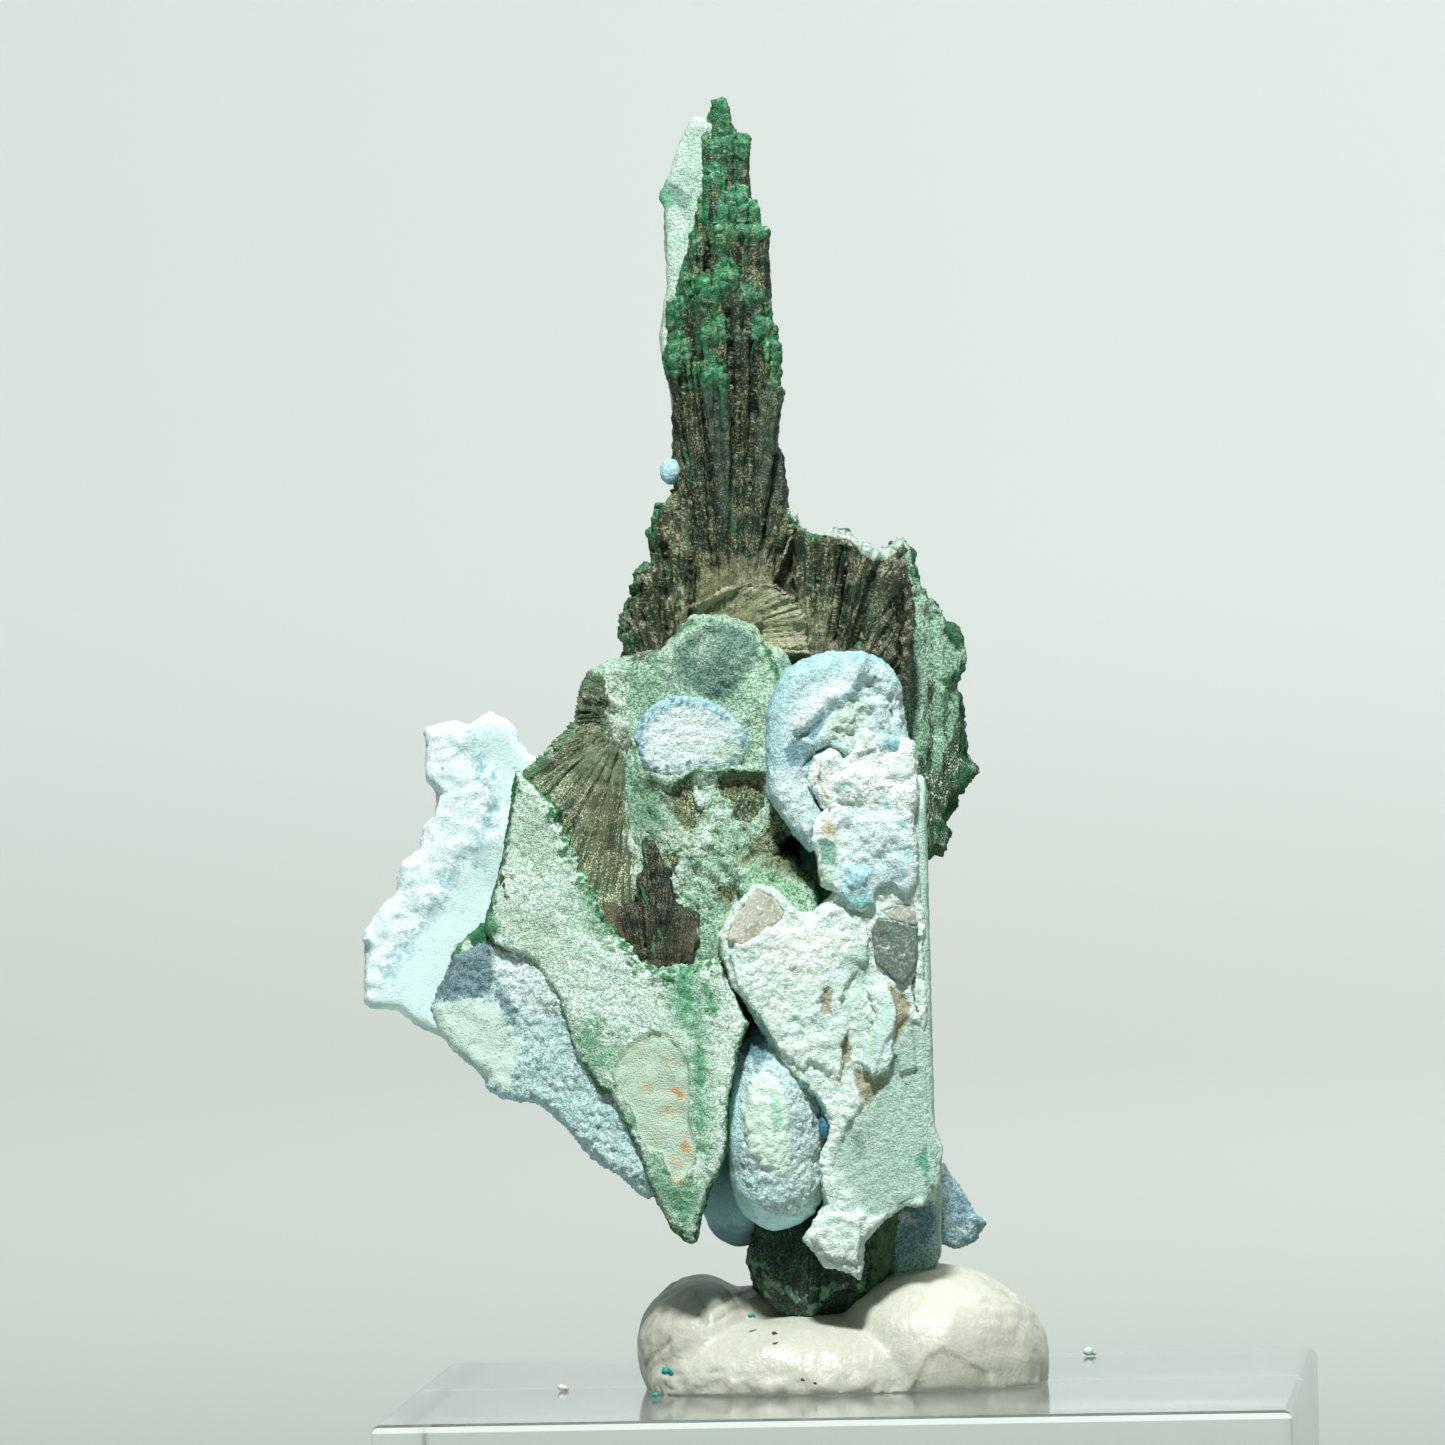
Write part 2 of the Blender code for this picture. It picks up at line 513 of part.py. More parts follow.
def back_forms():
    """The core, and the rounded lumps, broken plate and sprays of columns at the back."""
    forms = [lump(centre, radii) for centre, radii in CORE_LUMPS + BACK_LUMPS]
    forms.append(slab(BACK_PLATE_OUTLINE, 6.4, 2.2, lean=(-0.12, 0.04), about=(0.0, 20.0)))
    return forms + fan(BACK_SPRAY_ROOT, BACK_SPRAY_TIPS, 1.1) + fan(BACK_FAN_ROOT, BACK_FAN_TIPS, 1.1)


def make_specimen():
    """The whole natural specimen, as one solid."""
    forms = spike_forms() + fan_forms() + middle_forms() + left_forms() + wing_forms()
    forms += right_forms() + bottom_forms() + back_forms()
    return place(fused(forms, SPECIMEN_VOXEL, SPECIMEN_RELIEF, SPECIMEN_TRIANGLES))


def make_tack():
    """The pad of tack: a saddle with a flat underside and a socket for the stem."""
    forms = [lump(centre, radii) for centre, radii in TACK_LUMPS]
    return place(fused(forms, TACK_VOXEL, TACK_RELIEF, TACK_TRIANGLES))


def cut_flat(mesh, height):
    """Cut a closed mesh off below a height, in metres, and close the cut."""
    whole = bmesh.new()
    whole.from_mesh(mesh)
    everything = whole.verts[:] + whole.edges[:] + whole.faces[:]
    cut = bmesh.ops.bisect_plane(
        whole, geom=everything, plane_co=(0.0, 0.0, height), plane_no=(0.0, 0.0, 1.0), clear_inner=True
    )
    rim = [item for item in cut["geom_cut"] if isinstance(item, bmesh.types.BMEdge)]
    bmesh.ops.holes_fill(whole, edges=rim)
    bmesh.ops.triangulate(whole, faces=whole.faces)
    whole.to_mesh(mesh)
    whole.free()
    return mesh


def make_block():
    """The acrylic block, with its edges broken."""
    form = bmesh.new()
    bmesh.ops.create_cube(form, size=1.0)
    size = Matrix.Diagonal((BLOCK_SIDE, BLOCK_SIDE, BLOCK_HEIGHT, 1.0))
    form.transform(Matrix.Scale(MM, 4) @ Matrix.Translation((0.0, 0.0, BLOCK_HEIGHT / 2)) @ size)
    mesh = bpy.data.meshes.new("block")
    form.to_mesh(mesh)
    form.free()
    return mesh


def material(name, colour, roughness, transmission=0.0):
    """A plain material with the piece's colour and finish."""
    finish = bpy.data.materials.new(name)
    finish.use_nodes = True
    shader = finish.node_tree.nodes["Principled BSDF"]
    shader.inputs["Base Color"].default_value = (*colour, 1.0)
    shader.inputs["Roughness"].default_value = roughness
    shader.inputs["Metallic"].default_value = 0.0
    shader.inputs["Transmission Weight"].default_value = transmission
    return finish


def add_object(name, mesh, collection):
    """Put a mesh in the scene under its piece's name."""
    piece = bpy.data.objects.new(name, mesh)
    mesh.name = name
    collection.objects.link(piece)
    return piece


def main():
    clear_scene()
    parts = bpy.data.collections.new("malachite_with_chrysocolla")
    cutters = bpy.data.collections.new("cutters")
    bpy.context.scene.collection.children.link(parts)
    bpy.context.scene.collection.children.link(cutters)

    specimen = add_object("malachite_specimen", make_specimen(), parts)
    specimen.data.materials.append(material("green_and_blue_mineral", (0.36, 0.56, 0.47), 0.85))

    tack = add_object("mineral_tack", cut_flat(make_tack(), (BLOCK_HEIGHT + GAP) * MM), parts)
    tack.data.materials.append(material("white_tack", (0.78, 0.78, 0.68), 0.6))
    socket_mesh = fused(stem_forms(SOCKET_MARGIN), TACK_VOXEL, 0.0, SOCKET_TRIANGLES)
    socket = add_object("stem_socket", place(socket_mesh), cutters)
    notch_form = slab(TACK_NOTCH, TACK_NOTCH_FRONT, TACK_NOTCH_BACK - TACK_NOTCH_FRONT)
    notch = add_object("pressed_facet", place(joined([notch_form])), cutters)
    for cutter in (socket, notch):
        cutter.hide_render = True
        cutter.display_type = "WIRE"
        cut = tack.modifiers.new(cutter.name, "BOOLEAN")
        cut.operation = "DIFFERENCE"
        cut.object = cutter

    block = add_object("acrylic_block", make_block(), parts)
    block.data.materials.append(material("clear_acrylic", (0.95, 0.97, 0.96), 0.03, transmission=1.0))
    edge = block.modifiers.new("edges", "BEVEL")
    edge.width = BLOCK_EDGE * MM
    edge.segments = 2


main()
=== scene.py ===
import math
import random

import bmesh
import bpy
import numpy as np
from mathutils import Matrix, Vector, noise


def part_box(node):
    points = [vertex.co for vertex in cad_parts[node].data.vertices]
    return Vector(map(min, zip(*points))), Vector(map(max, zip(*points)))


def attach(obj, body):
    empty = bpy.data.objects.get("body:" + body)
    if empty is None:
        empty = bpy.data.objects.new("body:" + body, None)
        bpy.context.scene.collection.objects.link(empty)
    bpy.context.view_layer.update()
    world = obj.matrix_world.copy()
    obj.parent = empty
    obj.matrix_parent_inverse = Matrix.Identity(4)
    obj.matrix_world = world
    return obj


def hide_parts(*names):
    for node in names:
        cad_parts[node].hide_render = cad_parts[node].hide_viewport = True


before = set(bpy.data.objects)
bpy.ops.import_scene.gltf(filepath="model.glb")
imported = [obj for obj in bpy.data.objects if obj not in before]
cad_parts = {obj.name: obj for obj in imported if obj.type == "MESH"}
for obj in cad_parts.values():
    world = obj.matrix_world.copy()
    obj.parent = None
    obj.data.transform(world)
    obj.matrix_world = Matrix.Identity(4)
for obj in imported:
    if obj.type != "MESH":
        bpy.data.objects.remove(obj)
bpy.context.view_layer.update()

# The looks of a malachite and chrysocolla specimen in a pad of tack on a clear acrylic block.
# Forms are modelled in mm in the specimen's own frame: x across, y away from the viewer and z up,
# from the middle of the block's top.

MM = 0.001
BODY = "root"
SPECIMEN = "malachite_specimen"
TACK = "mineral_tack"
BLOCK = "acrylic_block"
BLOCK_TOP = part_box(BLOCK)[1][2] / MM

# How the specimen's frame is turned against the block, and the line of sight that its outlines
# spread from
TURN = math.radians(3.85)
LEAN_BACK = math.radians(-1.40)
LEAN_SIDE = math.radians(1.24)
SIGHT_DISTANCE = 850.0
SIGHT_X = -7.7
SIGHT_Z = 37.5
SPECIMEN_TURN = (
    Matrix.Rotation(TURN, 3, "Z") @ Matrix.Rotation(LEAN_BACK, 3, "X") @ Matrix.Rotation(LEAN_SIDE, 3, "Y")
)


# Large pieces keep this share of their faces; pieces with fewer than so many faces keep them all
KEPT_SHARE = 0.47
SMALL_PIECE = 4000


# Forms

def trace(text):
    """Points of a line or an outline, typed with commas between them."""
    return [tuple(float(word) for word in point.split()) for point in text.split(",")]


def traces(text):
    """Several lines or outlines, typed with strokes between them."""
    return [trace(part) for part in text.split("/")]


def lump(forms, centre, radii, turn=0.0, detail=4):
    """Add a rounded lump, turned about the line of sight."""
    place = Matrix.Translation(centre) @ Matrix.Rotation(turn, 4, "Y") @ Matrix.Diagonal((*radii, 1.0))
    bmesh.ops.create_icosphere(forms, subdivisions=detail, radius=1.0, matrix=place)


def column(forms, foot, tip, foot_radius, tip_radius, sides=6, roll=0.0, flat=1.0):
    """Add a tapered crystal column. Flat below 1 makes it a blade."""
    along = Vector(tip) - Vector(foot)
    turn = along.to_track_quat("Z", "Y").to_matrix().to_4x4() @ Matrix.Rotation(roll, 4, "Z")
    middle = (Vector(foot) + Vector(tip)) / 2
    place = Matrix.Translation(middle) @ turn @ Matrix.Diagonal((1.0, flat, 1.0, 1.0))
    bmesh.ops.create_cone(
        forms, cap_ends=True, segments=sides, radius1=foot_radius, radius2=tip_radius,
        depth=along.length, matrix=place,
    )


def slab(forms, outline, front, thickness, lean=(0.0, 0.0), about=(0.0, 0.0), edge=0.3, turn=None):
    """Add a plate across the specimen, with its front at y = front and leaning by so much per mm."""
    curve = bpy.data.curves.new("outline", "CURVE")
    curve.dimensions = "2D"
    curve.fill_mode = "BOTH"
    curve.extrude = thickness / 2 - edge
    curve.bevel_depth = edge
    curve.offset = -edge
    spline = curve.splines.new("POLY")
    spline.points.add(len(outline) - 1)
    for point, (x, z) in zip(spline.points, outline):
        point.co = (x, z, 0.0, 1.0)
    spline.use_cyclic_u = True
    holder = bpy.data.objects.new("outline", curve)
    bpy.context.scene.collection.objects.link(holder)
    mesh = bpy.data.meshes.new_from_object(holder.evaluated_get(bpy.context.evaluated_depsgraph_get()))
    bpy.data.objects.remove(holder)
    bpy.data.curves.remove(curve)
    mesh.transform(Matrix.Translation((0.0, front + thickness / 2, 0.0)) @ Matrix.Rotation(math.pi / 2, 4,
                                                                                           "X"))
    shear = Matrix.Identity(4)
    shear[1][0], shear[1][2] = lean
    shear[1][3] = -lean[0] * about[0] - lean[1] * about[1]
    mesh.transform(shear)
    if turn is not None:
        mesh.transform(turn)
    forms.from_mesh(mesh)
    bpy.data.meshes.remove(mesh)


def side_slab(forms, outline, x, thickness, lean=0.0):
    """Add a plate that runs away from the viewer, with its outline in y and z."""
    tilt = Matrix.Identity(4)
    tilt[0][2] = lean
    turn = Matrix.Translation((x, 0.0, 0.0)) @ tilt @ Matrix.Rotation(math.pi / 2, 4, "Z")
    slab(forms, outline, -thickness / 2, thickness, turn=turn)


def cluster(forms, rng, root, left, right, top, front, dome, fineness=0.2, deep=1.1):
    """Add a pillar of fine columns from a root, its jagged top falling off by its dome."""
    count = int(10 + (right - left) * deep * 16)
    for _ in range(count):
        across, back = rng.random(), rng.random()
        x = left + (right - left) * across
        fall = dome * (2 * across - 1) ** 2 + 0.5 * dome * back ** 2
        tip = Vector((x, front + deep * back, top - fall - rng.uniform(0.0, 0.28)))
        size = fineness * rng.uniform(0.6, 1.25)
        column(forms, Vector(root).lerp(tip, 0.25), tip, size * 0.8, size, roll=rng.uniform(0, 1))


def along(path, share):
    """The point a share of the way along a line."""
    steps = [math.dist(a, b) for a, b in zip(path, path[1:])]
    left = share * sum(steps)
    for (a, b), step in zip(zip(path, path[1:]), steps):
        if left <= step:
            return a[0] + (b[0] - a[0]) * left / step, a[1] + (b[1] - a[1]) * left / step
        left -= step
    return path[-1]


def spray(forms, rng, root, rim, count, radius, depths, start=0.25, short=0.06, flat=1.0, swell=0.0):
    """Columns that spread from a root to a rim and end unevenly there, in broad folds."""
    for index in range(count):
        share = (index + rng.random()) / count
        x, z = along(rim, share)
        fold = noise.noise(Vector((share * 9.0, count * 0.37, 0.5)))
        trim = rng.uniform(0.0, short) + short * max(fold, 0.0)
        tip = Vector((x, rng.uniform(*depths) + swell * fold, z)).lerp(Vector(root), trim)
        foot = Vector(root).lerp(tip, start)
        size = radius * rng.uniform(0.6, 1.3)
        column(forms, foot, tip, size * 0.6, size, roll=rng.uniform(0, 1), flat=flat)


# Skins

class Skin:
    """The fine mesh of one piece, in mm in the specimen's frame."""

    def __init__(self, forms, voxel, smooth=0):
        mesh = bpy.data.meshes.new("forms")
        bmesh.ops.triangulate(forms, faces=forms.faces)
        forms.to_mesh(mesh)
        forms.free()
        holder = bpy.data.objects.new("forms", mesh)
        bpy.context.scene.collection.objects.link(holder)
        remesh = holder.modifiers.new("fuse", "REMESH")
        remesh.mode = "VOXEL"
        remesh.voxel_size = voxel
        if smooth:
            relax = holder.modifiers.new("relax", "SMOOTH")
            relax.iterations = smooth
        graph = bpy.context.evaluated_depsgraph_get()
        self.mesh = bpy.data.meshes.new_from_object(holder.evaluated_get(graph))
        bpy.data.objects.remove(holder)
        bpy.data.meshes.remove(mesh)
        self.drop_inner_shells()

    def drop_inner_shells(self):
        """Keep only the largest connected shell."""
        count = len(self.mesh.vertices)
        ends = np.empty(len(self.mesh.edges) * 2, np.int32)
        self.mesh.edges.foreach_get("vertices", ends)
        first, second = ends[0::2], ends[1::2]
        label = np.arange(count)
        while True:
            low = np.minimum(label[first], label[second])
            before = label.copy()
            np.minimum.at(label, first, low)
            np.minimum.at(label, second, low)
            label = label[label]
            if np.array_equal(before, label):
                break
        names, sizes = np.unique(label, return_counts=True)
        if len(names) == 1:
            return
        inner = np.flatnonzero(label != names[np.argmax(sizes)])
        shell = bmesh.new()
        shell.from_mesh(self.mesh)
        shell.verts.ensure_lookup_table()
        bmesh.ops.delete(shell, geom=[shell.verts[int(i)] for i in inner], context="VERTS")
        shell.to_mesh(self.mesh)
        shell.free()

    def thin(self, share):
        """Join faces, first where the surface is nearly flat, until this share of them is left."""
        holder = bpy.data.objects.new("fine", self.mesh)
        bpy.context.scene.collection.objects.link(holder)
        fewer = holder.modifiers.new("fewer", "DECIMATE")
        fewer.ratio = share
        graph = bpy.context.evaluated_depsgraph_get()
        fine = self.mesh
        self.mesh = bpy.data.meshes.new_from_object(holder.evaluated_get(graph))
        bpy.data.objects.remove(holder)
        bpy.data.meshes.remove(fine)

    def rows(self, source, name):
        flat = np.empty(len(source) * 3, np.float32)
        source.foreach_get(name, flat)
        return flat.reshape(-1, 3).astype(float)

    def points(self):
        return self.rows(self.mesh.vertices, "co")

    def normals(self):
        return self.rows(self.mesh.vertex_normals, "vector")

    def move(self, points):
        self.mesh.vertices.foreach_set("co", points.astype(np.float32).ravel())
        self.mesh.update()

    def push(self, amount):
        """Move every point out along its normal by its own amount."""
        self.move(self.points() + self.normals() * np.asarray(amount)[:, None])

    def paint(self, name, values):
        """Keep a value from 0 to 1 at every point for the finish to read."""
        layer = self.mesh.attributes.new(name, "FLOAT", "POINT")
        layer.data.foreach_set("value", np.clip(values, 0, 1).astype(np.float32))

    def lay_strands(self, root, fineness, zones=()):
        """Keep, at every point, where its fibre lies round its root and how far along it is."""
        points = self.points()
        roots = np.tile(np.array(root, float), (len(points), 1))
        for outline, centre in zones:
            roots[inside(points, outline) > 0] = centre
        away = points - roots
        length = np.linalg.norm(away, axis=1)
        across = np.arctan2(away[:, 0], away[:, 2])
        deep = np.arcsin(np.clip(away[:, 1] / np.maximum(length, 0.01), -1, 1))
        strand = np.stack([across * fineness, deep * fineness, length], axis=1)
        layer = self.mesh.attributes.new("strand", "FLOAT_VECTOR", "POINT")
        layer.data.foreach_set("vector", strand.astype(np.float32).ravel())
        return strand


def fuse(forms, voxel, smooth=0):
    """One skin round some forms, and its points."""
    skin = Skin(forms, voxel, smooth)
    return skin, skin.points()


def cloud(points, size, octaves=3, shift=0.0):
    """Fractal noise, about -1 to 1, with its largest features so many mm across."""
    start = Vector((shift, 1.7 * shift, -2.3 * shift))
    scaled = (points / size).tolist()
    return np.array([
        noise.fractal(Vector(p) + start, 1.0, 2.1, octaves, noise_basis="PERLIN_ORIGINAL") for p in scaled])


def pebbles(points, size, shift=0.0):
    """Rounded grains, 0 in the gaps to about 1 on top."""
    start = Vector((shift, -1.3 * shift, 2.1 * shift))
    scaled = (points / size).tolist()
    return np.array([1 - noise.noise(Vector(p) + start, noise_basis="VORONOI_F1") for p in scaled])


def flakes(points, size, levels, shift=0.0):
    """Layers that came away unevenly, 0 to 1, in steps with crisp rims."""
    value = (cloud(points, size, 4, shift=shift) * 0.6 + 0.5) * levels
    low = np.floor(value)
    return (low + ease(value - low, 0.42, 0.58)) / levels


def inside(points, outline):
    """Distance in mm inside an outline across the specimen; below zero outside it."""
    x, z = points[:, 0], points[:, 2]
    nearest = np.full(len(x), 1e9)
    within = np.zeros(len(x), bool)
    for (ax, az), (bx, bz) in zip(outline, outline[1:] + outline[:1]):
        dx, dz = bx - ax, bz - az
        share = np.clip(((x - ax) * dx + (z - az) * dz) / (dx * dx + dz * dz), 0, 1)
        nearest = np.minimum(nearest, np.hypot(x - ax - share * dx, z - az - share * dz))
        crosses = (az > z) != (bz > z)
        if dz:
            within ^= crosses & (x < ax + (z - az) * dx / dz)
    return np.where(within, nearest, -nearest)


def beside(points, line):
    """Distance in mm from a line across the specimen."""
    x, z = points[:, 0], points[:, 2]
    nearest = np.full(len(x), 1e9)
    for (ax, az), (bx, bz) in zip(line, line[1:]):
        dx, dz = bx - ax, bz - az
        share = np.clip(((x - ax) * dx + (z - az) * dz) / (dx * dx + dz * dz), 0, 1)
        nearest = np.minimum(nearest, np.hypot(x - ax - share * dx, z - az - share * dz))
    return nearest


def inside_any(points, outlines):
    """Distance in mm inside the outline that a point lies deepest in."""
    return np.maximum.reduce([inside(points, outline) for outline in outlines])


def beside_any(points, lines):
    """Distance in mm from the nearest of some lines."""
    return np.minimum.reduce([beside(points, line) for line in lines])


def near(distance, width):
    """1 at a line, fading out over a width."""
    return np.exp(-(distance / width) ** 2)


def ease(values, low, high):
    """0 below low to 1 above high, smoothly."""
    share = np.clip((values - low) / (high - low), 0, 1)
    return share * share * (3 - 2 * share)


def facing(normals):
    """1 where the surface faces the viewer, 0 at the side and behind."""
    return ease(-normals[:, 1], 0.0, 0.5)


def model_points(points):
    """Points from the specimen's frame, in mm, to the model's frame, in metres."""
    spread = 1 + points[:, 1] / SIGHT_DISTANCE
    seen = points.copy()
    seen[:, 0] = SIGHT_X + (points[:, 0] - SIGHT_X) * spread
    seen[:, 2] = SIGHT_Z + (points[:, 2] - SIGHT_Z) * spread
    turned = seen @ np.array(SPECIMEN_TURN).T
    turned[:, 2] += BLOCK_TOP
    return turned * MM


def show(name, skin, finish, stands_for=SPECIMEN, floor=None):
    """Put a finished skin in the model as a named piece, flattened where it meets a floor."""
    if len(skin.mesh.polygons) > SMALL_PIECE:
        skin.thin(KEPT_SHARE)
    points = model_points(skin.points())
    if floor is not None:
        points[:, 2] = np.maximum(points[:, 2], floor * MM)
    skin.move(points)
    skin.mesh.name = name
    skin.mesh.materials.clear()
    skin.mesh.materials.append(finish)
    skin.mesh.shade_smooth()
    piece = bpy.data.objects.new(name, skin.mesh)
    bpy.context.scene.collection.objects.link(piece)
    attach(piece, BODY)
    if stands_for:
        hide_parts(stands_for)
    return piece


# Finishes

def colour(red, green, blue):
    """What a shader needs for a colour given as it looks on a screen, 0 to 255."""
    def linear(value):
        share = value / 255
        return share / 12.92 if share <= 0.04045 else ((share + 0.055) / 1.055) ** 2.4
    return (linear(red), linear(green), linear(blue), 1.0)


def node(tree, kind, inputs=None, **settings):
    """Add a node. Its inputs are given by name or number, as values or as sockets to link."""
    new = tree.nodes.new(kind)
    for name, value in settings.items():
        setattr(new, name, value)
    for name, value in (inputs or {}).items():
        if isinstance(value, bpy.types.NodeSocket):
            tree.links.new(value, new.inputs[name])
        else:
            new.inputs[name].default_value = value
    return new


def surface(tree):
    """Places on the surface, in metres."""
    return node(tree, "ShaderNodeTexCoord").outputs["Object"]


def speckle(tree, place, scale, detail, roughness=0.5):
    """Noise over the surface, about 0 to 1."""
    inputs = {"Vector": place, "Scale": scale, "Detail": detail, "Roughness": roughness}
    return node(tree, "ShaderNodeTexNoise", inputs).outputs["Fac"]


def sum_maker(operation):
    """A function for one kind of sum on values that change over the surface."""
    def result(tree, first, second):
        return node(tree, "ShaderNodeMath", {0: first, 1: second}, operation=operation).outputs[0]
    return result


plus, minus, times, over = [sum_maker(kind) for kind in ("ADD", "SUBTRACT", "MULTIPLY", "DIVIDE")]


def blend(tree, share, first, second, how="MIX"):
    """Mix two colours, plain ones or ones that change over the surface."""
    first, second = [colour(*tint) if isinstance(tint, tuple) else tint for tint in (first, second)]
    inputs = {0: share, 6: first, 7: second}
    return node(tree, "ShaderNodeMix", inputs, data_type="RGBA", blend_type=how).outputs[2]


def ramp(tree, value, low, high):
    """0 below low to 1 above high."""
    inputs = {"Value": value, "From Min": low, "From Max": high}
    return node(tree, "ShaderNodeMapRange", inputs, clamp=True).outputs["Result"]


def new_group(name, inputs, outputs):
    """An empty node group with float inputs, given with their defaults, and float outputs."""
    group = bpy.data.node_groups.new(name, "ShaderNodeTree")
    for socket, default in inputs.items():
        group.interface.new_socket(socket, in_out="INPUT",
                                   socket_type="NodeSocketFloat").default_value = default
    for socket in outputs:
        group.interface.new_socket(socket, in_out="OUTPUT", socket_type="NodeSocketFloat")
    return group, group.nodes.new("NodeGroupInput"), group.nodes.new("NodeGroupOutput")


def give(group, result, outputs):
    """Link a group's results."""
    for name, value in outputs.items():
        group.links.new(value, result.inputs[name])


def make_grain_group():
    """Sugary grain: small crystals with soft gaps between them, dark flecks and broad changes of tone. The
    finishes darken the gaps through their mask, partly as the gaps' own colour and partly as painted shade.
    """
    group, given, result = new_group("sugary_grain", {"Size": 0.15}, ["Height", "Pits", "Tone", "Flecks"])
    place = surface(group)
    frequency = over(group, 1 / MM, given.outputs["Size"])
    crumbs = speckle(group, place, times(group, frequency, 0.9), 3.0, 0.7)
    crystals = node(group, "ShaderNodeTexVoronoi", {"Vector": place, "Scale": frequency})
    patches = speckle(group, place, times(group, frequency, 0.12), 4.0, 0.65)
    spots = speckle(group, place, times(group, frequency, 0.42), 4.0, 0.7)
    rounded = minus(group, 1.0, crystals.outputs["Distance"])
    gaps = plus(group, crumbs, times(group, rounded, 0.25))
    give(group, result, {
        "Height": plus(group, times(group, rounded, 0.5), crumbs), "Pits": ramp(group, gaps, 0.70, 0.53),
        "Tone": ramp(group, patches, 0.38, 0.62), "Flecks": ramp(group, spots, 0.58, 0.68),
    })
    return group


def make_strand_group():
    """Fibres that follow the strands of a piece: streaks along them and glinting broken ends."""
    group, given, result = new_group("strand_streaks", {"Fineness": 1.0},
                                     ["Height", "Streak", "Glint", "Zone"])
    strand = node(group, "ShaderNodeAttribute", attribute_name="strand").outputs["Vector"]
    long = node(group, "ShaderNodeVectorMath", {0: strand, 1: (2.6, 2.6, 0.3)}, operation="MULTIPLY")
    short = node(group, "ShaderNodeVectorMath", {0: strand, 1: (4.4, 4.4, 8.0)}, operation="MULTIPLY")
    streaks = speckle(group, long.outputs[0], given.outputs["Fineness"], 3.0, 0.65)
    specks = speckle(group, short.outputs[0], given.outputs["Fineness"], 1.0, 0.6)
    broad = speckle(group, surface(group), 0.8 / MM, 3.0)
    zone = times(group, minus(group, broad, 0.5), 0.5)
    lines = times(group, minus(group, streaks, 0.5), 0.5)
    share = plus(group, specks, plus(group, zone, lines))
    give(group, result, {
        "Height": plus(group, streaks, specks), "Streak": ramp(group, streaks, 0.38, 0.64),
        "Glint": ramp(group, share, 0.56, 0.66), "Zone": ramp(group, broad, 0.42, 0.6),
    })
    return group


def make_edge_group():
    """The ragged border of a patch, from the distance that its piece keeps."""
    group, given, result = new_group(
        "ragged_edge", {"Distance": 0.0, "Wobble": 0.3, "Rough": 0.5, "Blur": 0.06}, ["Mask"])
    moved = times(group, minus(group, given.outputs["Rough"], 0.5), given.outputs["Wobble"])
    total = plus(group, given.outputs["Distance"], moved)
    low = minus(group, 0.5, given.outputs["Blur"])
    give(group, result, {"Mask": ramp(group, total, low, plus(group, 0.5, given.outputs["Blur"]))})
    return group


def make_ragged_group():
    """The unevenness that the borders of all patches follow."""
    group, given, result = new_group("ragged", {}, ["Rough"])
    give(group, result, {"Rough": speckle(group, surface(group), 2.4 / MM, 5.0, 0.6)})
    return group


GRAIN = make_grain_group()
STRANDS = make_strand_group()
EDGE = make_edge_group()
RAGGED = make_ragged_group()


def placed(tree, group, inputs):
    """Place a node group in a finish."""
    return node(tree, "ShaderNodeGroup", inputs, node_tree=group)


def new_finish(name, roughness):
    """A finish with its shader, ready for its colour."""
    finish = bpy.data.materials.new(name)
    finish.use_nodes = True
    shader = finish.node_tree.nodes["Principled BSDF"]
    shader.inputs["Roughness"].default_value = roughness
    return finish, finish.node_tree, shader


def patch_mask(tree, attribute, wobble, blur=0.06):
    """Where a painted patch covers the surface."""
    kept = node(tree, "ShaderNodeAttribute", attribute_name=attribute).outputs["Fac"]
    rough = tree.nodes.get("ragged") or placed(tree, RAGGED, {})
    rough.name = "ragged"
    inputs = {"Distance": kept, "Wobble": wobble, "Rough": rough.outputs["Rough"], "Blur": blur}
    return placed(tree, EDGE, inputs).outputs["Mask"]


def emboss(tree, shader, height, depth):
    """Fine relief, so many mm deep."""
    bump = node(tree, "ShaderNodeBump", {"Height": height, "Distance": depth * MM, "Strength": 1.0})
    tree.links.new(bump.outputs["Normal"], shader.inputs["Normal"])


def sugary(name, body, gaps, size=0.13, depth=0.08, roughness=0.8, patches=(), gap_share=0.6, second=None,
           fibres=None, plain=(), flecks=None):
    """A finish of fine grains over a body colour, with fibrous areas and painted patches over it. The gaps
    colour darkens the pits between the grains: partly their own greener colour, partly painted shade in the
    hollows.
    """
    finish, tree, shader = new_finish(name, roughness)
    grain = placed(tree, GRAIN, {"Size": size})
    base = blend(tree, grain.outputs["Tone"], body, second or body)
    if fibres:
        attribute, dark, streak, glint = fibres
        strands = placed(tree, STRANDS, {"Fineness": 1.0})
        toned = blend(tree, strands.outputs["Streak"], dark, streak)
        toned = blend(tree, strands.outputs["Glint"], toned, glint)
        base = blend(tree, patch_mask(tree, attribute, 0.5), base, toned)
    share = times(tree, grain.outputs["Pits"], gap_share)
    for attribute, tint, wobble, *blur in patches:
        mask = patch_mask(tree, attribute, wobble, *blur)
        base = blend(tree, mask, base, tint)
        if attribute in plain:
            share = times(tree, share, minus(tree, 1.0, mask))
    if flecks:
        tint, strength = flecks
        base = blend(tree, times(tree, grain.outputs["Flecks"], strength), base, tint)
    # the pits take the gaps colour: partly their own colour, partly painted shade in the hollows between
    # grains
    base = blend(tree, share, base, blend(tree, 1.0, base, gaps, "MULTIPLY"))
    tree.links.new(base, shader.inputs["Base Color"])
    emboss(tree, shader, grain.outputs["Height"], depth)
    return finish


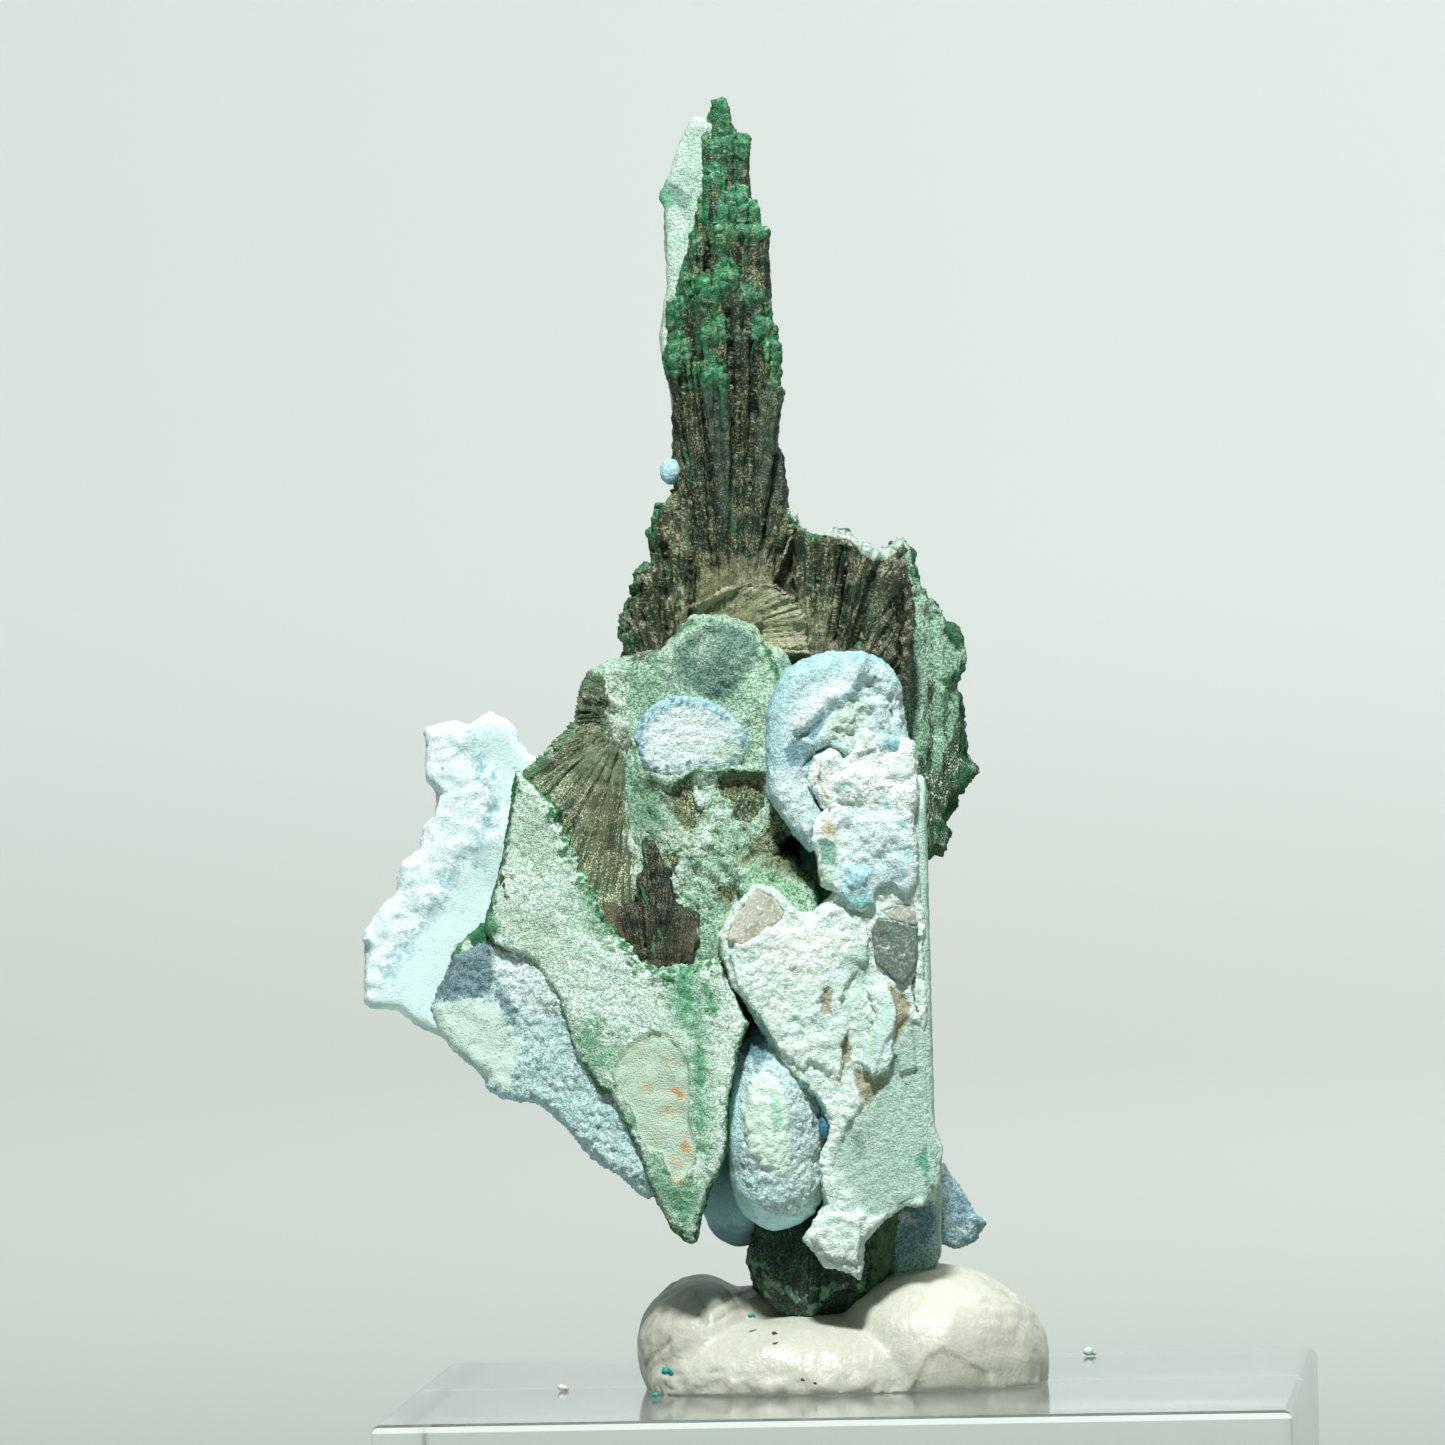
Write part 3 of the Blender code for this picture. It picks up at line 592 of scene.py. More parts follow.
def lay_patches(skin, table, uneven=0.12):
    """Paint the patches of a table on a skin, and list them with their tints for its finish.

    A patch is an area, a line of some half-width, or the rim of an outline near some lines.
    """
    points = skin.points()
    ragged = cloud(points, 0.7, 3, shift=12.0) * uneven
    laid = []
    for name, shapes, width, softness, tint, wobble, *blur in table:
        if isinstance(shapes, str):
            shapes = traces(shapes)
        if width is None:
            depth = inside_any(points, shapes)
        else:
            away = beside_any(points, shapes)
            if isinstance(width, tuple):
                depth = np.where(away < 1.2, width[0] - inside(points, width[1]), -9.0)
            else:
                depth = width - away
        skin.paint(name, 0.5 + depth / softness + ragged)
        laid.append((name, tint, wobble, *blur))
    return laid


def fibrous(name, dark, streak, glint, fineness=1.0, depth=0.06, roughness=0.45, glints=0.8, patches=(),
            brown=None):
    """A finish of fibres, dark with paler streaks, brown zones and glinting ends."""
    finish, tree, shader = new_finish(name, roughness)
    strands = placed(tree, STRANDS, {"Fineness": fineness})
    grain = placed(tree, GRAIN, {"Size": 0.1})
    base = blend(tree, strands.outputs["Streak"], dark, streak)
    if brown:
        base = blend(tree, times(tree, strands.outputs["Zone"], 0.75), base, brown)
    share = times(tree, strands.outputs["Glint"], glints)
    for attribute, tint, wobble, *blur in patches:
        mask = patch_mask(tree, attribute, wobble, *blur)
        toned = blend(tree, times(tree, strands.outputs["Streak"], 0.5), tint, dark)
        # painted shade: the patch tint is darkened in the pits of the grain
        toned = blend(tree, times(tree, grain.outputs["Pits"], 0.4), toned, dark)
        base = blend(tree, times(tree, mask, 0.9), base, toned)
        share = times(tree, share, minus(tree, 1.0, times(tree, mask, 0.35)))
    base = blend(tree, share, base, glint)
    tree.links.new(base, shader.inputs["Base Color"])
    height = plus(tree, strands.outputs["Height"],
                       times(tree, grain.outputs["Height"], 0.6))
    emboss(tree, shader, height, depth)
    return finish


# Colours
DEEP_GREEN = (18, 34, 25)
DARK_GREEN = (30, 80, 52)
VIVID_GREEN = (50, 136, 86)
BROWN_DARK = (52, 60, 42)
GOLD = (158, 164, 122)
BRONZE = (38, 60, 44)
PALE_GREEN = (222, 240, 228)
SOFT_GREEN = (196, 226, 208)
MOSS = (142, 180, 162)
LEAF_GREEN = (132, 196, 158)
LEAF_PIT = (128, 178, 148)
MINT = (236, 250, 240)
MINT_PIT = (184, 216, 204)
PALE_BLUE = (226, 242, 242)
SKY = (188, 222, 228)
TEAL_BLUE = (150, 188, 202)
WHITE = (250, 252, 248)
TACK_WHITE = (186, 189, 174)

# The spike: its pillars as left, right, top, front, fall of the top, share and run of the green, then
# its shaft and its pale flank
SPIKE_ROOT = (-7.1, 1.4, 38.0)
SPIKE_COLUMNS = trace("""
    -8.75 -6.95 73.05 1.9 2.3 1 1.6, -8.45 -6.2 70.75 1.5 0.25 1 0.8, -6.6 -6.15 71 1.9 0.3 0.8 1.6,
    -8.65 -7.5 68.8 1.1 0.4 1 0.5, -9 -8.4 67 1.4 0.5 0.9 1, -7.8 -5.55 67.55 0.6 0.9 1.1 1,
    -6.15 -5.6 66.2 1.2 0.5 0.7 0.6, -8.2 -7.15 65.75 0.2 0.3 0.9 0.9, -7.05 -5.05 65.75 0 0.15 0.9 0.35,
    -9.5 -8.8 65 0.9 0.6 0.7 1.2, -8.05 -6.65 63.3 -0.5 0.5 1 0.8, -10.05 -9.4 63.2 0.6 0.6 0.8 1.4,
    -9.55 -8 62.7 -0.4 0.7 1 0.9, -6.7 -5.35 62.2 -0.3 0.6 0.6 0.6, -5.6 -4.95 61.7 0.5 0.4 0.6 0.6,
    -10.65 -9.75 61.7 0.6 0.6 1 1.2, -8.65 -7.25 60.3 -1.1 0.6 1 0.9, -5.9 -4.6 60.5 -0.3 0.5 0.9 0.7,
    -5.2 -4.35 59.3 -0.7 0.6 1.1 1.2, -10.75 -9.5 59.2 -0.1 0.5 1 1, -7.3 -5.7 59.8 -0.9 0.5 0 0.5,
    -9.25 -8.75 58.1 -0.9 0.3 0.7 0.5, -8.75 -7.4 57.8 -1.6 0.6 0.9 0.8, -5 -4.3 57 -0.7 0.5 0.7 0.8
""")
SPIKE_GROOVES = traces("""
    -9.35 62.4, -9.3 60, -9.1 57.6, -8.8 55.4, -8.5 52.6, -8.3 50.4 / -7.25 60.8, -7.2 58, -7.05 55.4,
    -6.9 52.8 / -9.95 57, -9.9 54.6, -9.7 52.4 / -8.4 64.6, -8.5 63.2 / -6.6 65, -6.5 62.4 / -5.9 59,
    -5.8 55
""")
SPIKE_PATCHES = [
    ("smooth", """
        -8.8 57.2, -7.5 57, -7.2 53.6, -6.9 49.4, -7.5 48.6, -8.1 52.4, -8.7 55.4 / -5.5 57.4, -4.6 57,
        -4.5 54, -4.2 52.6, -4.2 50.2, -5.2 49.8, -5.6 53.4 / -9.2 61.4, -8.7 61.4, -8.6 58.6, -9.1 58.8
    """, None, 1.0, (66, 88, 76), 0.9),
    # grooves: a near-black tint painted along the groove lines, as painted shade in the grooves
    ("grooves", SPIKE_GROOVES, 0.09, 0.5, (14, 22, 16), 0.5),
    ("tan", "-10.2 42, -9.6 44.8, -8.2 46.6, -5.2 46.6, -3.8 45.4, -3 42", None, 2.4,
     (160, 162, 122), 2.6, 0.3),
    ("streaks", """
        -8.4 57.4, -8.1 56 / -7.7 56.6, -7.6 54.8 / -7.3 50.8, -7 48.4 / -9.7 58.4, -9.4 56.6 / -9.8 53.6,
        -9.4 51.2 / -8.2 60, -8 58 / -6.4 64.6, -6.3 63.2
    """, 0.10, 0.7, (48, 124, 84), 0.6),
]
SPIKE_SHAFT = trace("""
    -10 50, -10.2 56, -10.5 59, -9.9 63, -9.2 66, -8.75 69, -8.5 70.2, -8.2 71.6, -7.4 71.6, -7 70.6,
    -6.25 70, -6.15 67.6, -5.6 66, -5.15 65, -5.1 62, -4.9 60, -4.5 58, -4.5 56, -4.8 53.6, -4.3 52.6,
    -4.1 50, -5 43, -9.5 43
""")
SPIKE_BACK = trace("""
    -9.2 71.9, -10 70.3, -10.6 68.5, -11.15 67.3, -10.9 66.9, -10.7 64, -10.6 62.5, -11.1 59.8, -11 58.6,
    -10.3 55, -9.8 47, -6 47, -5.6 58, -6.8 66, -8 71.5
""")

# The upper fan
FAN_ROOT = (-7.2, 1.8, 39.6)
FAN_RIM_OUTLINE = trace("""
    -13 30, -13.25 43.6, -12.55 44.8, -12.45 46.1, -11.6 46.6, -11.4 49.6, -10.5 50.4, -9.9 60, -4.3 60,
    -4.1 49.8, -3.4 48.7, -2.4 48.1, -1.3 48.4, 0 48, 1.1 47.3, 2.6 47.9, 3.4 45.5, 3.4 30
""")
FAN_OUTLINE = trace("""
    -13 41, -13.25 43.6, -12.55 44.8, -12.45 46.1, -11.6 46.6, -11.4 49.6, -10.5 50.4, -9.9 51, -4.3 51,
    -4.1 49.8, -3.4 48.7, -2.4 48.1, -1.3 48.4, 0 48, 1.1 47.3, 2.6 47.9, 3 45.5, 3 41, 1.5 36, -11 36
""")
FAN_PALE_RIM = trace("-4.1 50.3, -3.4 49.2, -2.4 48.5, -1.4 48.4, -0.4 48.2")
FAN_MINT_PATCH = trace("""
    -0.4 47.9, 0.3 47.2, 0.9 46.75, 1.8 46.9, 2.5 47.4, 2.8 48.2, 1.2 47.6, 0 48.3
""")
FAN_SPRAYS = [
    ((-9.4, 1.8, 34.0), trace("""
        -13 41.2, -13.3 43.6, -12.6 44.7, -12.5 46.1, -11.6 46.6, -11.4 49.7, -10.4 50.5, -9.6 51
    """), 70, 0.0, 0.2),
    ((-7.2, 1.8, 39.6), trace("""
        -9.6 50.4, -8.4 50, -7 50, -5.4 50, -4.3 49.8, -3.5 48.8
    """), 70, 0.8, 0.2),
    ((-2.6, 1.8, 36.0), trace("""
        -3.6 48.7, -2.4 48.2, -1.3 48.4, 0 48, 2.3 47.4, 2.4 45, 2.2 41
    """), 80, 0.0, 0.2),
    ((-10.0, 1.8, 42.2), trace("""
        -9.4 44.2, -7.4 45.2, -5.8 45.7, -4.4 45.5, -3.4 44.6, -2.6 43, -2.4 41.4
    """), 220, 0.1, 0.06),
]
FAN_GROOVES = traces("""
    -9.2 51.4, -8.9 48.8, -8.5 46.2 / -3.6 48.7, -4.7 46.9, -5.9 45.4 / -2.4 48.1, -2.35 46.6, -2.3 45.4 /
    -9.35 44.3, -9.45 43.2 / -12.3 45.8, -12.1 43.4 / -11 47.4, -10.8 44.8 / -0.9 47.6, -1.1 44.2,
    -1.4 42.4 / 0.9 46, 0.3 43.4, -0.1 41.6 / -6.9 50.6, -6.8 48
""")
FAN_PATCHES = [
    ("tan", """
        -10.2 42.2, -9.6 44.4, -8 46.4, -5.2 46.2, -3.8 45.4, -2 43.6, -1.6 41, -4.4 40.6, -7 42
    """, None, 2.6, (200, 202, 160), 3.0, 0.3),
    ("smooth", """
        -5.6 53.6, -4.4 52.8, -4.2 50.4, -5.2 48.4, -6 50.4 / 0.2 46.2, 1.4 46, 1.2 43.4, 0.2 43 /
        -8.2 52.6, -7 52.6, -6.8 49.4, -7.4 48.4
    """, None, 1.4, (70, 90, 76), 1.0, 0.3),
    ("streaks", """
        -9.15 48, -8.85 46.6 / -6 49, -6.7 46.4 / -4 48.4, -4.8 46.8 / -1.5 45.2, -1.9 44 / -4 44.4,
        -3.5 43.4 / -11 47.4, -10.8 46 / 0.9 44.6, 0.7 43.8
    """, 0.04, 0.9, (56, 130, 88), 1.6, 0.3),
    # grooves: a dark tint painted along the groove lines, as painted shade in the grooves
    ("grooves", FAN_GROOVES, 0.08, 0.5, (20, 30, 20), 0.5, 0.2),
    ("glint", "-2.65 42.7, -2.5 42.2 / -4.05 47.3, -4.1 47.2", 0.06, 0.4, (236, 240, 232),
     0.2),
    ("mint", [FAN_MINT_PATCH], None, 0.6, (206, 232, 216), 0.3),
    ("pale_rim", [FAN_PALE_RIM], 0.24, 0.5, PALE_GREEN, 0.4),
]

# The green lobe behind it on the right
LOBE_OUTLINE = trace("""
    2.4 47.8, 2.9 47.6, 3.3 46, 3.5 45, 4.3 44.2, 4.9 43.3, 5.5 42.6, 6.15 41.2, 6 40.6, 5.5 39.4,
    5.8 38.6, 6 36.5, 5.9 35.9, 6.45 34.8, 6.1 34.2, 5.1 32.9, 4.9 32.2, 5.1 31.2, 4.8 30.6, 3.9 30, 1 30,
    -1 46
""")
LOBE_LUMPS = traces("""
    3.4 7.2 40.6, 2.2 2 3.6 / 3.9 7.4 35.4, 1.9 2 4.2 / 1.2 9 41.6, 2.4 1.8 2.8 / 1.4 8.8 35.6,
    2.2 2.2 2.6
""")

# The green middle, with its knob, its oval of chrysocolla and its broken centre
MIDDLE_OUTLINE = trace("""
    -15.1 40.3, -14.2 40.8, -13 41.2, -11 41.6, -10.4 42.3, -9.8 43, -9.3 43.5, -7.5 43.5, -5.8 42.9,
    -5.3 42.1, -4.3 41.6, -3.9 41, -3.8 36, -3 31, -2 27, -7 23, -11 24, -13.2 29, -13.4 35, -15.9 38.2,
    -15.5 39.5
""")
KNOB_CENTRE = (-7.7, -2.6, 41.1)
KNOB_RADII = (2.6, 1.1, 2.3)
MIDDLE_LEDGE = trace("""
    -6.9 29.2, -5.9 29.8, -4.9 30, -3.9 29.7, -3 28.9, -2.2 27.7, -2.3 26.4, -3.8 26.2, -5.4 26.8, -6.6 28
""")
MIDDLE_PLANKS = trace("""
    -6.8 29.5, -4.7 32.1, -4.1 31.9, -3.9 31.4, -5.6 29.2, -6.3 29
""")
OVAL_OUTLINE = trace("""
    -12.59 36.68, -12.28 37.9, -11.18 38.76, -9.83 39.07, -8.48 38.76, -7.25 38.15, -6.52 37.4,
    -6.15 36.43, -6.15 35.7, -7 34.96, -8.36 34.9, -8.97 34.9, -9.95 34.6, -11.18 34.6, -12.16 35.3
""")
KNOB_OUTLINE = trace("""
    -10.2 41.8, -9.46 42.6, -7.74 43.3, -6.15 42.95, -5.5 42.1, -5.78 41.1, -7 39.3, -7.74 38.7, -8.48 39,
    -9.46 39.4, -10.2 40.1, -10.44 41.1
""")
FIBRE_FACETS = traces("""
    -10.57 33.98, -9.46 34.7, -9.22 33.1, -8.48 32.26, -8.97 31.3, -9.7 31.5, -10.44 32.5 / -7.99 34.47,
    -7 34.96, -5.29 34.84, -5.29 32.75, -6.02 31.77, -7 32.26, -7.25 33, -7.87 33.5 / -6.8 29.5,
    -4.7 32.1, -3.9 31.4, -5.6 29.2 / -5.2 30.1, -3.6 29.8, -2.6 28.6, -3.4 28.4, -4.6 29.3 / -8 28.3,
    -7 28.4, -6.9 27.4, -7.8 27.3
""")
# The recessed hole in the broken centre; its dark tint is painted shade
DARK_HOLE = trace("""
    -4.8 30.54, -4.18 31.5, -3.33 31, -2.47 30.05, -2.1 28.95, -2.1 27.84, -2.83 29.3, -3.94 30.3
""")
OVAL_LEDGE = trace("""
    -11.7 34.6, -11 34.2, -10.2 34.4, -9.2 34.8, -7.7 34.9, -5.5 34.8
""")
GREEN_LINES = trace("-10.6 34, -9.6 34.4, -9 34.9, -7.7 34.7, -5.4 34.6")
BROKEN_PATCH = trace("""
    -11.8 34.6, -10.6 33.9, -8.6 34.4, -6.2 34.8, -4.4 33.9, -3.2 31, -2.2 28.4, -3.6 27, -6.4 28.2,
    -8.8 26, -12 27.6, -12.8 31
""")
PALE_FACETS = [
    ((-8.66, -3.4, 33.73), (0.50, 0.5, 0.90), 0.1), ((-7.56, -3.4, 32.2), (0.42, 0.5, 0.34), -0.2),
    ((-8.72, -3.4, 30.9), (0.50, 0.5, 0.85), 0.15), ((-9.95, -3.4, 29.2), (0.32, 0.5, 0.50), 0.3),
    ((-10.2, -3.4, 28.3), (0.36, 0.5, 0.55), 0.2),
]

# The fan on the left, and the dark blades below it
LEFT_FAN_ROOT = (-12.9, -3.3, 38.0)
LEFT_FAN_PATCHES = [
    ("mossy", "-16.6 36.6, -13 37.4, -12.8 34.6, -14.4 34.4, -16 35.2", None, 1.6,
     (132, 152, 114), 2.0, 0.4),
    ("umber", """
        -16.4 33.4, -14.4 34.2, -13.2 33, -13.1 29.6, -14 28.6, -15.6 30.4
    """, None, 2.0, (106, 112, 76), 1.6, 0.4),
    ("pale", "-14.4 41, -12.6 41, -12.8 36.2, -13.9 36.8, -14 39", None, 0.8,
     (206, 226, 204), 1.0),
    ("olive", """
        -15.9 38.2, -15 38.5, -14.4 37.9, -15.6 37.4 / -15.5 40, -14.7 40.2, -14.6 39.3, -15.5 39.2
    """, None, 0.6, (60, 92, 60), 0.7),
    ("dark_strips", """
        -18.6 34.4, -16.2 36.1 / -17.8 33.9, -16 35.2 / -16.8 32.4, -15.6 33.6 / -16.3 31.4, -15 33.4 /
        -14 30.2, -13.5 33.6
    """, 0.12, 0.5, (40, 52, 34), 0.8, 0.3),
    # painted highlights: thin white lines along the fan's lit edges and a short bright streak
    ("white_edge", """
        -13 33.4, -13.1 32.2 / -13.2 31.2, -13.25 30.4 / -13.6 28.2, -13.4 27 / -16.9 32.75, -16.5 32.7 /
        -14.5 35.3, -14.1 34.9
    """, 0.05, 0.5, (240, 244, 236), 0.4),
    ("green_rim", """
        -15.2 40.3, -15.6 39.3 / -15.9 37.8, -16.9 36.4, -18.3 35.1, -19.1 34.4 / -19 34.3, -18 33.8,
        -17.2 32.4, -16.7 31.4 / -16 29.6, -15 27.8 / -14.6 26.6, -13.6 25.4
    """, 0.18, 0.9, (48, 140, 84), 1.6, 0.1),
]
BLADE_ROOT = (-10.9, -3.6, 17.0)
BLADE_OUTLINE = trace("""
    -12.16 30.9, -11.5 30.8, -10.95 29.7, -10.45 29.4, -10.55 28.8, -10.3 27.5, -9.5 27.1, -8.9 26.7,
    -8.9 25.1, -9.7 24.1, -13 23.8, -14.4 25.4, -14.4 27.6, -13.5 27.2, -12.5 27.4, -12.5 28.7, -12.1 29.3
""")
BLADE_PATCHES = [
    ("tan", """
        -14.8 28, -13.7 27.6, -13.5 26.4, -13.3 25.6, -14.2 25.2, -14.8 26.6 / -10 26.2, -8.9 26.2,
        -9 25.2, -9.8 24.2, -10.4 24.6
    """, None, 1.2, (116, 110, 82), 1.6, 0.3),
    ("green", """
        -12.3 28.4, -11.8 27.2 / -11.5 26.3, -11 25.3 / -11.55 25.2, -11.5 24.3 / -12.1 30.8, -11.9 29.6
    """, 0.06, 0.5, (60, 160, 100), 0.3),
    # white: painted highlights, small glints and a bright streak on the blades
    ("white", """
        -13.7 28.4, -13.4 27.2 / -9 25.9, -9 25.4 / -11.5 25.6, -11.5 25.3
    """, 0.06, 0.5, (240, 244, 236), 0.4),
]
LEFT_FAN_OUTLINE = trace("""
    -19 34.5, -18.3 35, -16.9 36.2, -15.9 37.3, -15.6 39.4, -15.1 40.3, -12.5 41, -12.6 34, -12.8 30,
    -12.4 24, -14 24.4, -16.4 28, -18 31
""")
LEFT_FAN_RIM = trace("""
    -15.4 39.9, -15.9 37.6, -17.6 35.6, -19 34.5, -18.2 32.4, -17.2 30.4, -15.8 27.8, -14.6 25.6,
    -13 24.6, -12.6 25.2
""")
DARK_BLADES = trace("""
    -11.9 30.6 -4.2 0.26, -11.5 30.3 -4.1 0.26, -11.2 29.6 -4 0.3, -10.8 29 -3.9 0.26,
    -12.1 28.8 -4.3 0.26, -12.3 27.2 -4.1 0.3, -11.5 28.8 -4.4 0.3, -10 26.9 -4.1 0.4, -9.3 26.4 -3.9 0.3,
    -13 26.9 -4 0.4, -13.8 26.6 -3.9 0.4, -11 27.4 -4.4 0.4, -10.7 28.4 -4.1 0.24, -12 29.9 -4.3 0.16
""")

# The green plate in front on the left, its cream window and its stains
PLATE_OUTLINE = trace("""
    -19.2 34.7, -19.5 32.3, -20 30, -20.6 27.2, -21 26, -20.5 25, -18.2 24.2, -17.5 23, -16.8 21.9,
    -16 19, -14.9 17.5, -13.7 16.2, -12.3 13.5, -11.9 12, -11.3 10.5, -10.4 9, -9.7 8.3, -9.2 8.1,
    -8.9 9.8, -8.5 11.2, -7.9 12, -7.6 13.5, -7.3 16.3, -6.8 19, -6.2 20.5, -7.1 22.8, -7.7 24, -9.5 23.6,
    -10.8 23.3, -12.5 24, -14.3 26.2, -15.4 28.6, -16.6 31.2, -17.4 33, -18.4 34
""")
PLATE_EDGE = PLATE_OUTLINE[33:] + PLATE_OUTLINE[:6]
PLATE_LOW_EDGE = trace("""
    -16.8 21.9, -16 19, -14.9 17.5, -13.7 16.2, -12.3 13.5, -11.3 10.5, -10.4 9, -9.2 8.1, -8.5 11.2,
    -7.6 13.5, -7.3 16.3, -6.8 19, -6.2 20.5
""")
PLATE_TOP_EDGE = PLATE_OUTLINE[26:34]
CREAM_WINDOW = trace("""
    -11.6 20.1, -10.8 19.9, -10 19.1, -9.6 18.1, -9.5 16.3, -9.6 14.9, -9.1 13.8, -9.2 12.8, -9.8 11.8,
    -10.3 11.4, -10.75 12.4, -11 13.2, -11.8 13.4, -12.4 14.35, -12.5 15.2, -13.2 16.3, -13.75 17.6,
    -13.5 18.5, -12.9 19.4
""")

PLATE_TIP = trace("""
    -22.85 24.2, -22.6 24.9, -21.2 26.1, -20 26.4, -19.4 24.6, -20.6 24.3, -21.4 24.6
""")
# The wing of chrysocolla at the far left, and the crust at the lower left
WING_OUTLINE = trace("""
    -24.4 37.2, -22.8 37.7, -22 37.3, -20.8 38.1, -20 37.6, -19.3 36.7, -18.6 35.8, -16 35, -11 34,
    -11 20, -19 18.6, -23.5 19.8, -24.2 20.1, -25 20.5, -26 21.3, -27.5 21.4, -27.9 21.7, -27.7 24.7,
    -28.1 25.3, -27.6 26, -26.1 27.8, -25.6 29.6, -24.6 30.3, -24.1 31.8, -23.5 33.6, -24.4 34.4,
    -24.3 36.2
""")
WING_LUMPS = traces("""
    -23.1 7.2 36, 1.35 1.9 1.55 / -20.7 7.6 36.4, 1.6 2.2 1.6 / -22.4 7 33.4, 1.5 1.9 1.7 / -23.2 6.8 31,
    1.5 1.7 1.7 / -24.5 6.6 28.6, 1.6 1.8 1.7 / -25.6 6.5 26.4, 1.6 1.7 1.5 / -26.6 6.5 24.6, 1.4 1.7 1.4
    / -26.9 6.5 22.9, 1 1.4 1.1 / -20.6 6.8 32, 1.2 1.8 2.2
""")
WING_BAND = trace("""
    -20.8 30.5, -22 30, -23 28.3, -23.6 27, -25 25.5, -26.2 24.2, -27.6 21.6, -24 20.4, -21 20.4, -18 26,
    -19 30
""")
WING_CORNER = trace("-22 36, -21.4 38.4, -18 37, -17 33, -20 32.6, -20.6 35")
CRUST_OUTLINE = trace("""
    -22.6 24.2, -20.7 25.2, -17 24, -13 17, -10 12, -11.6 10.8, -12.2 11, -13.5 12.2, -14.8 13, -16.5 15,
    -18 16.2, -20 16.5, -20.8 17, -21 17.6, -22.5 19, -23.5 20, -24 21.4
""")
CRUST_EDGE = trace("""
    -22.5 19, -21 17.4, -20 16.4, -18 16.1, -16.5 14.8, -14.8 12.8, -13.5 12, -11.6 10.6
""")
CRUST_MINT = trace("""
    -24 21.5, -22.3 21.9, -20.4 21.9, -20 20.6, -18.8 19.5, -19.3 18.3, -19.75 16.9, -21 17.2, -22.5 18.8,
    -23.8 20
""")

# The blue knob in front
KNOB_EDGE = trace("""
    -5 33.5, -5.1 38, -4.6 39.5, -4 40.5, -3 41.1, -1.7 41.5, 0.3 41.5, 1.3 41.1, 2 40.5, 2.4 39.8,
    2.7 37.5, 3 36, 1.4 35.2, -0.6 35, -1.6 35.2, -2.6 34.4, -2.4 33.4, -2 32.4, -2.2 31.2, -2.6 30.3,
    -3.2 30.9, -4.2 32.2
""")
KNOB_FACE = trace("""
    -3.9 37.2, -3.2 38.6, -0.3 40.6, 0.3 40.9, 0.2 39.6, -1.4 39, -2.6 37.3, -3.1 36.9
""")
KNOB_ROUGH = trace("""
    0.4 40.8, 1.6 40.4, 2.6 39, 2.8 36.6, 0 36.6, -2.4 35.6, -1.4 37.8
""")
KNOB_RIDGE = trace("0.3 41, -0.2 39.4, -1.2 38.9")
KNOB_TROUGH = trace("-1.4 38.4, -2.7 37, -3.3 36.8, -3.2 35.6")
# The line along which the upper crust's edge casts its shadow on the knob: sunk a little, and painted dark
# as that shadow
KNOB_SHADOW_LINE = trace("-2.9 35.1, -2.3 35.9, -1.6 36.15, -1.1 36, -0.75 35.65")

# The mint slab in front on the right, the crust above it and the flat plate along its side
UPPER_CRUST_OUTLINE = trace("""
    -2.75 34.9, -2.3 35.7, -1.6 35.95, -1.1 35.8, -0.7 35.45, -0.2 36, 0.2 36.6, 0.55 37.3, 0.9 36.8,
    1.3 36.5, 1.6 35.9, 2.3 36, 2.7 36.7, 3.1 36.4, 3.3 35.4, 3.3 30.2, 3.35 28.3, 2.7 28, 1.9 28.4,
    1.2 28.3, 0.9 27.4, 0.3 26.9, -0.5 27.1, -0.9 27.8, -1.4 28.2, -2 28.4, -2.2 30.2, -2.6 31.2, -2.5 32,
    -1.8 32.6, -2.2 33.4, -2.7 34
""")
UPPER_CRUST_LUMPS = traces("""
    0.2 -7.8 34, 2.2 1.4 1.6 / 2 -7.7 35, 1.2 1.2 1 / 1.3 -7.8 31.4, 1.7 1.3 2.2 / 0 -7.9 28.8,
    1.1 1.2 1.2 / 2.2 -7.7 29.6, 1 1.1 1.1 / 0.1 -7.8 27.9, 0.8 1 0.9
""")
SLAB_OUTLINE = trace("""
    -5.8 28.4, -5 28.2, -4.2 27.6, -3.5 26.9, -2.6 26.7, -1 28.2, 3.5 29, 3.8 26, 3.9 23, 4.1 18,
    4.3 14.8, 4.8 13.5, 4.6 11.5, 3.6 10.3, 2.7 10.3, 1.3 9.4, 0.3 8.2, 0.1 6.1, -0.3 6.5, -1.6 6.8,
    -3 8.3, -2.4 9.2, -1.7 10.3, -1.9 11, -2.1 13, -1.5 14.2, -1.6 15, -2.4 16.6, -3.2 17.2, -4 18,
    -5.5 20.5, -6.2 21.6, -6.9 22.4, -7.4 23.2, -7.8 25.4, -6.8 27.3
""")
SMOOTH_SLAB = trace("""
    1.6 19.5, 0.6 16.4, -0.6 14.6, -1.4 12.5, 0.8 9.4, 4.6 11, 5 14, 4.3 20, 2.8 21
""")
PETAL_OUTLINE = trace("""
    1.65 22.6, 2.1 21.6, 2.15 19.9, 2.05 18.75, 1.7 17.9, 0.85 17.4, 0.25 18.3, 0.5 19.4, 1.2 20.6,
    1.2 22.4
""")
CRUST_SHEETS = traces("""
    -6.2 26, -3.2 25.8, -1.2 27.2, 0.4 26.6, 0.6 24.2, -0.8 22.6, -1.6 20.2, -3 18, -4.4 19, -5.6 21,
    -6.6 22.6, -7.3 24.4 / -4 24.6, -1.8 24, -0.6 20.6, -1 17.4, -2.6 18.6, -3.6 21.2 / 0.6 22.4, 2 22.9,
    3.2 20.6, 3.4 18, 2.4 17.6, 1.9 19.8 / -1.6 9.8, 0.2 9.6, 0 7, -1.4 7.2, -2.6 8.4
""")
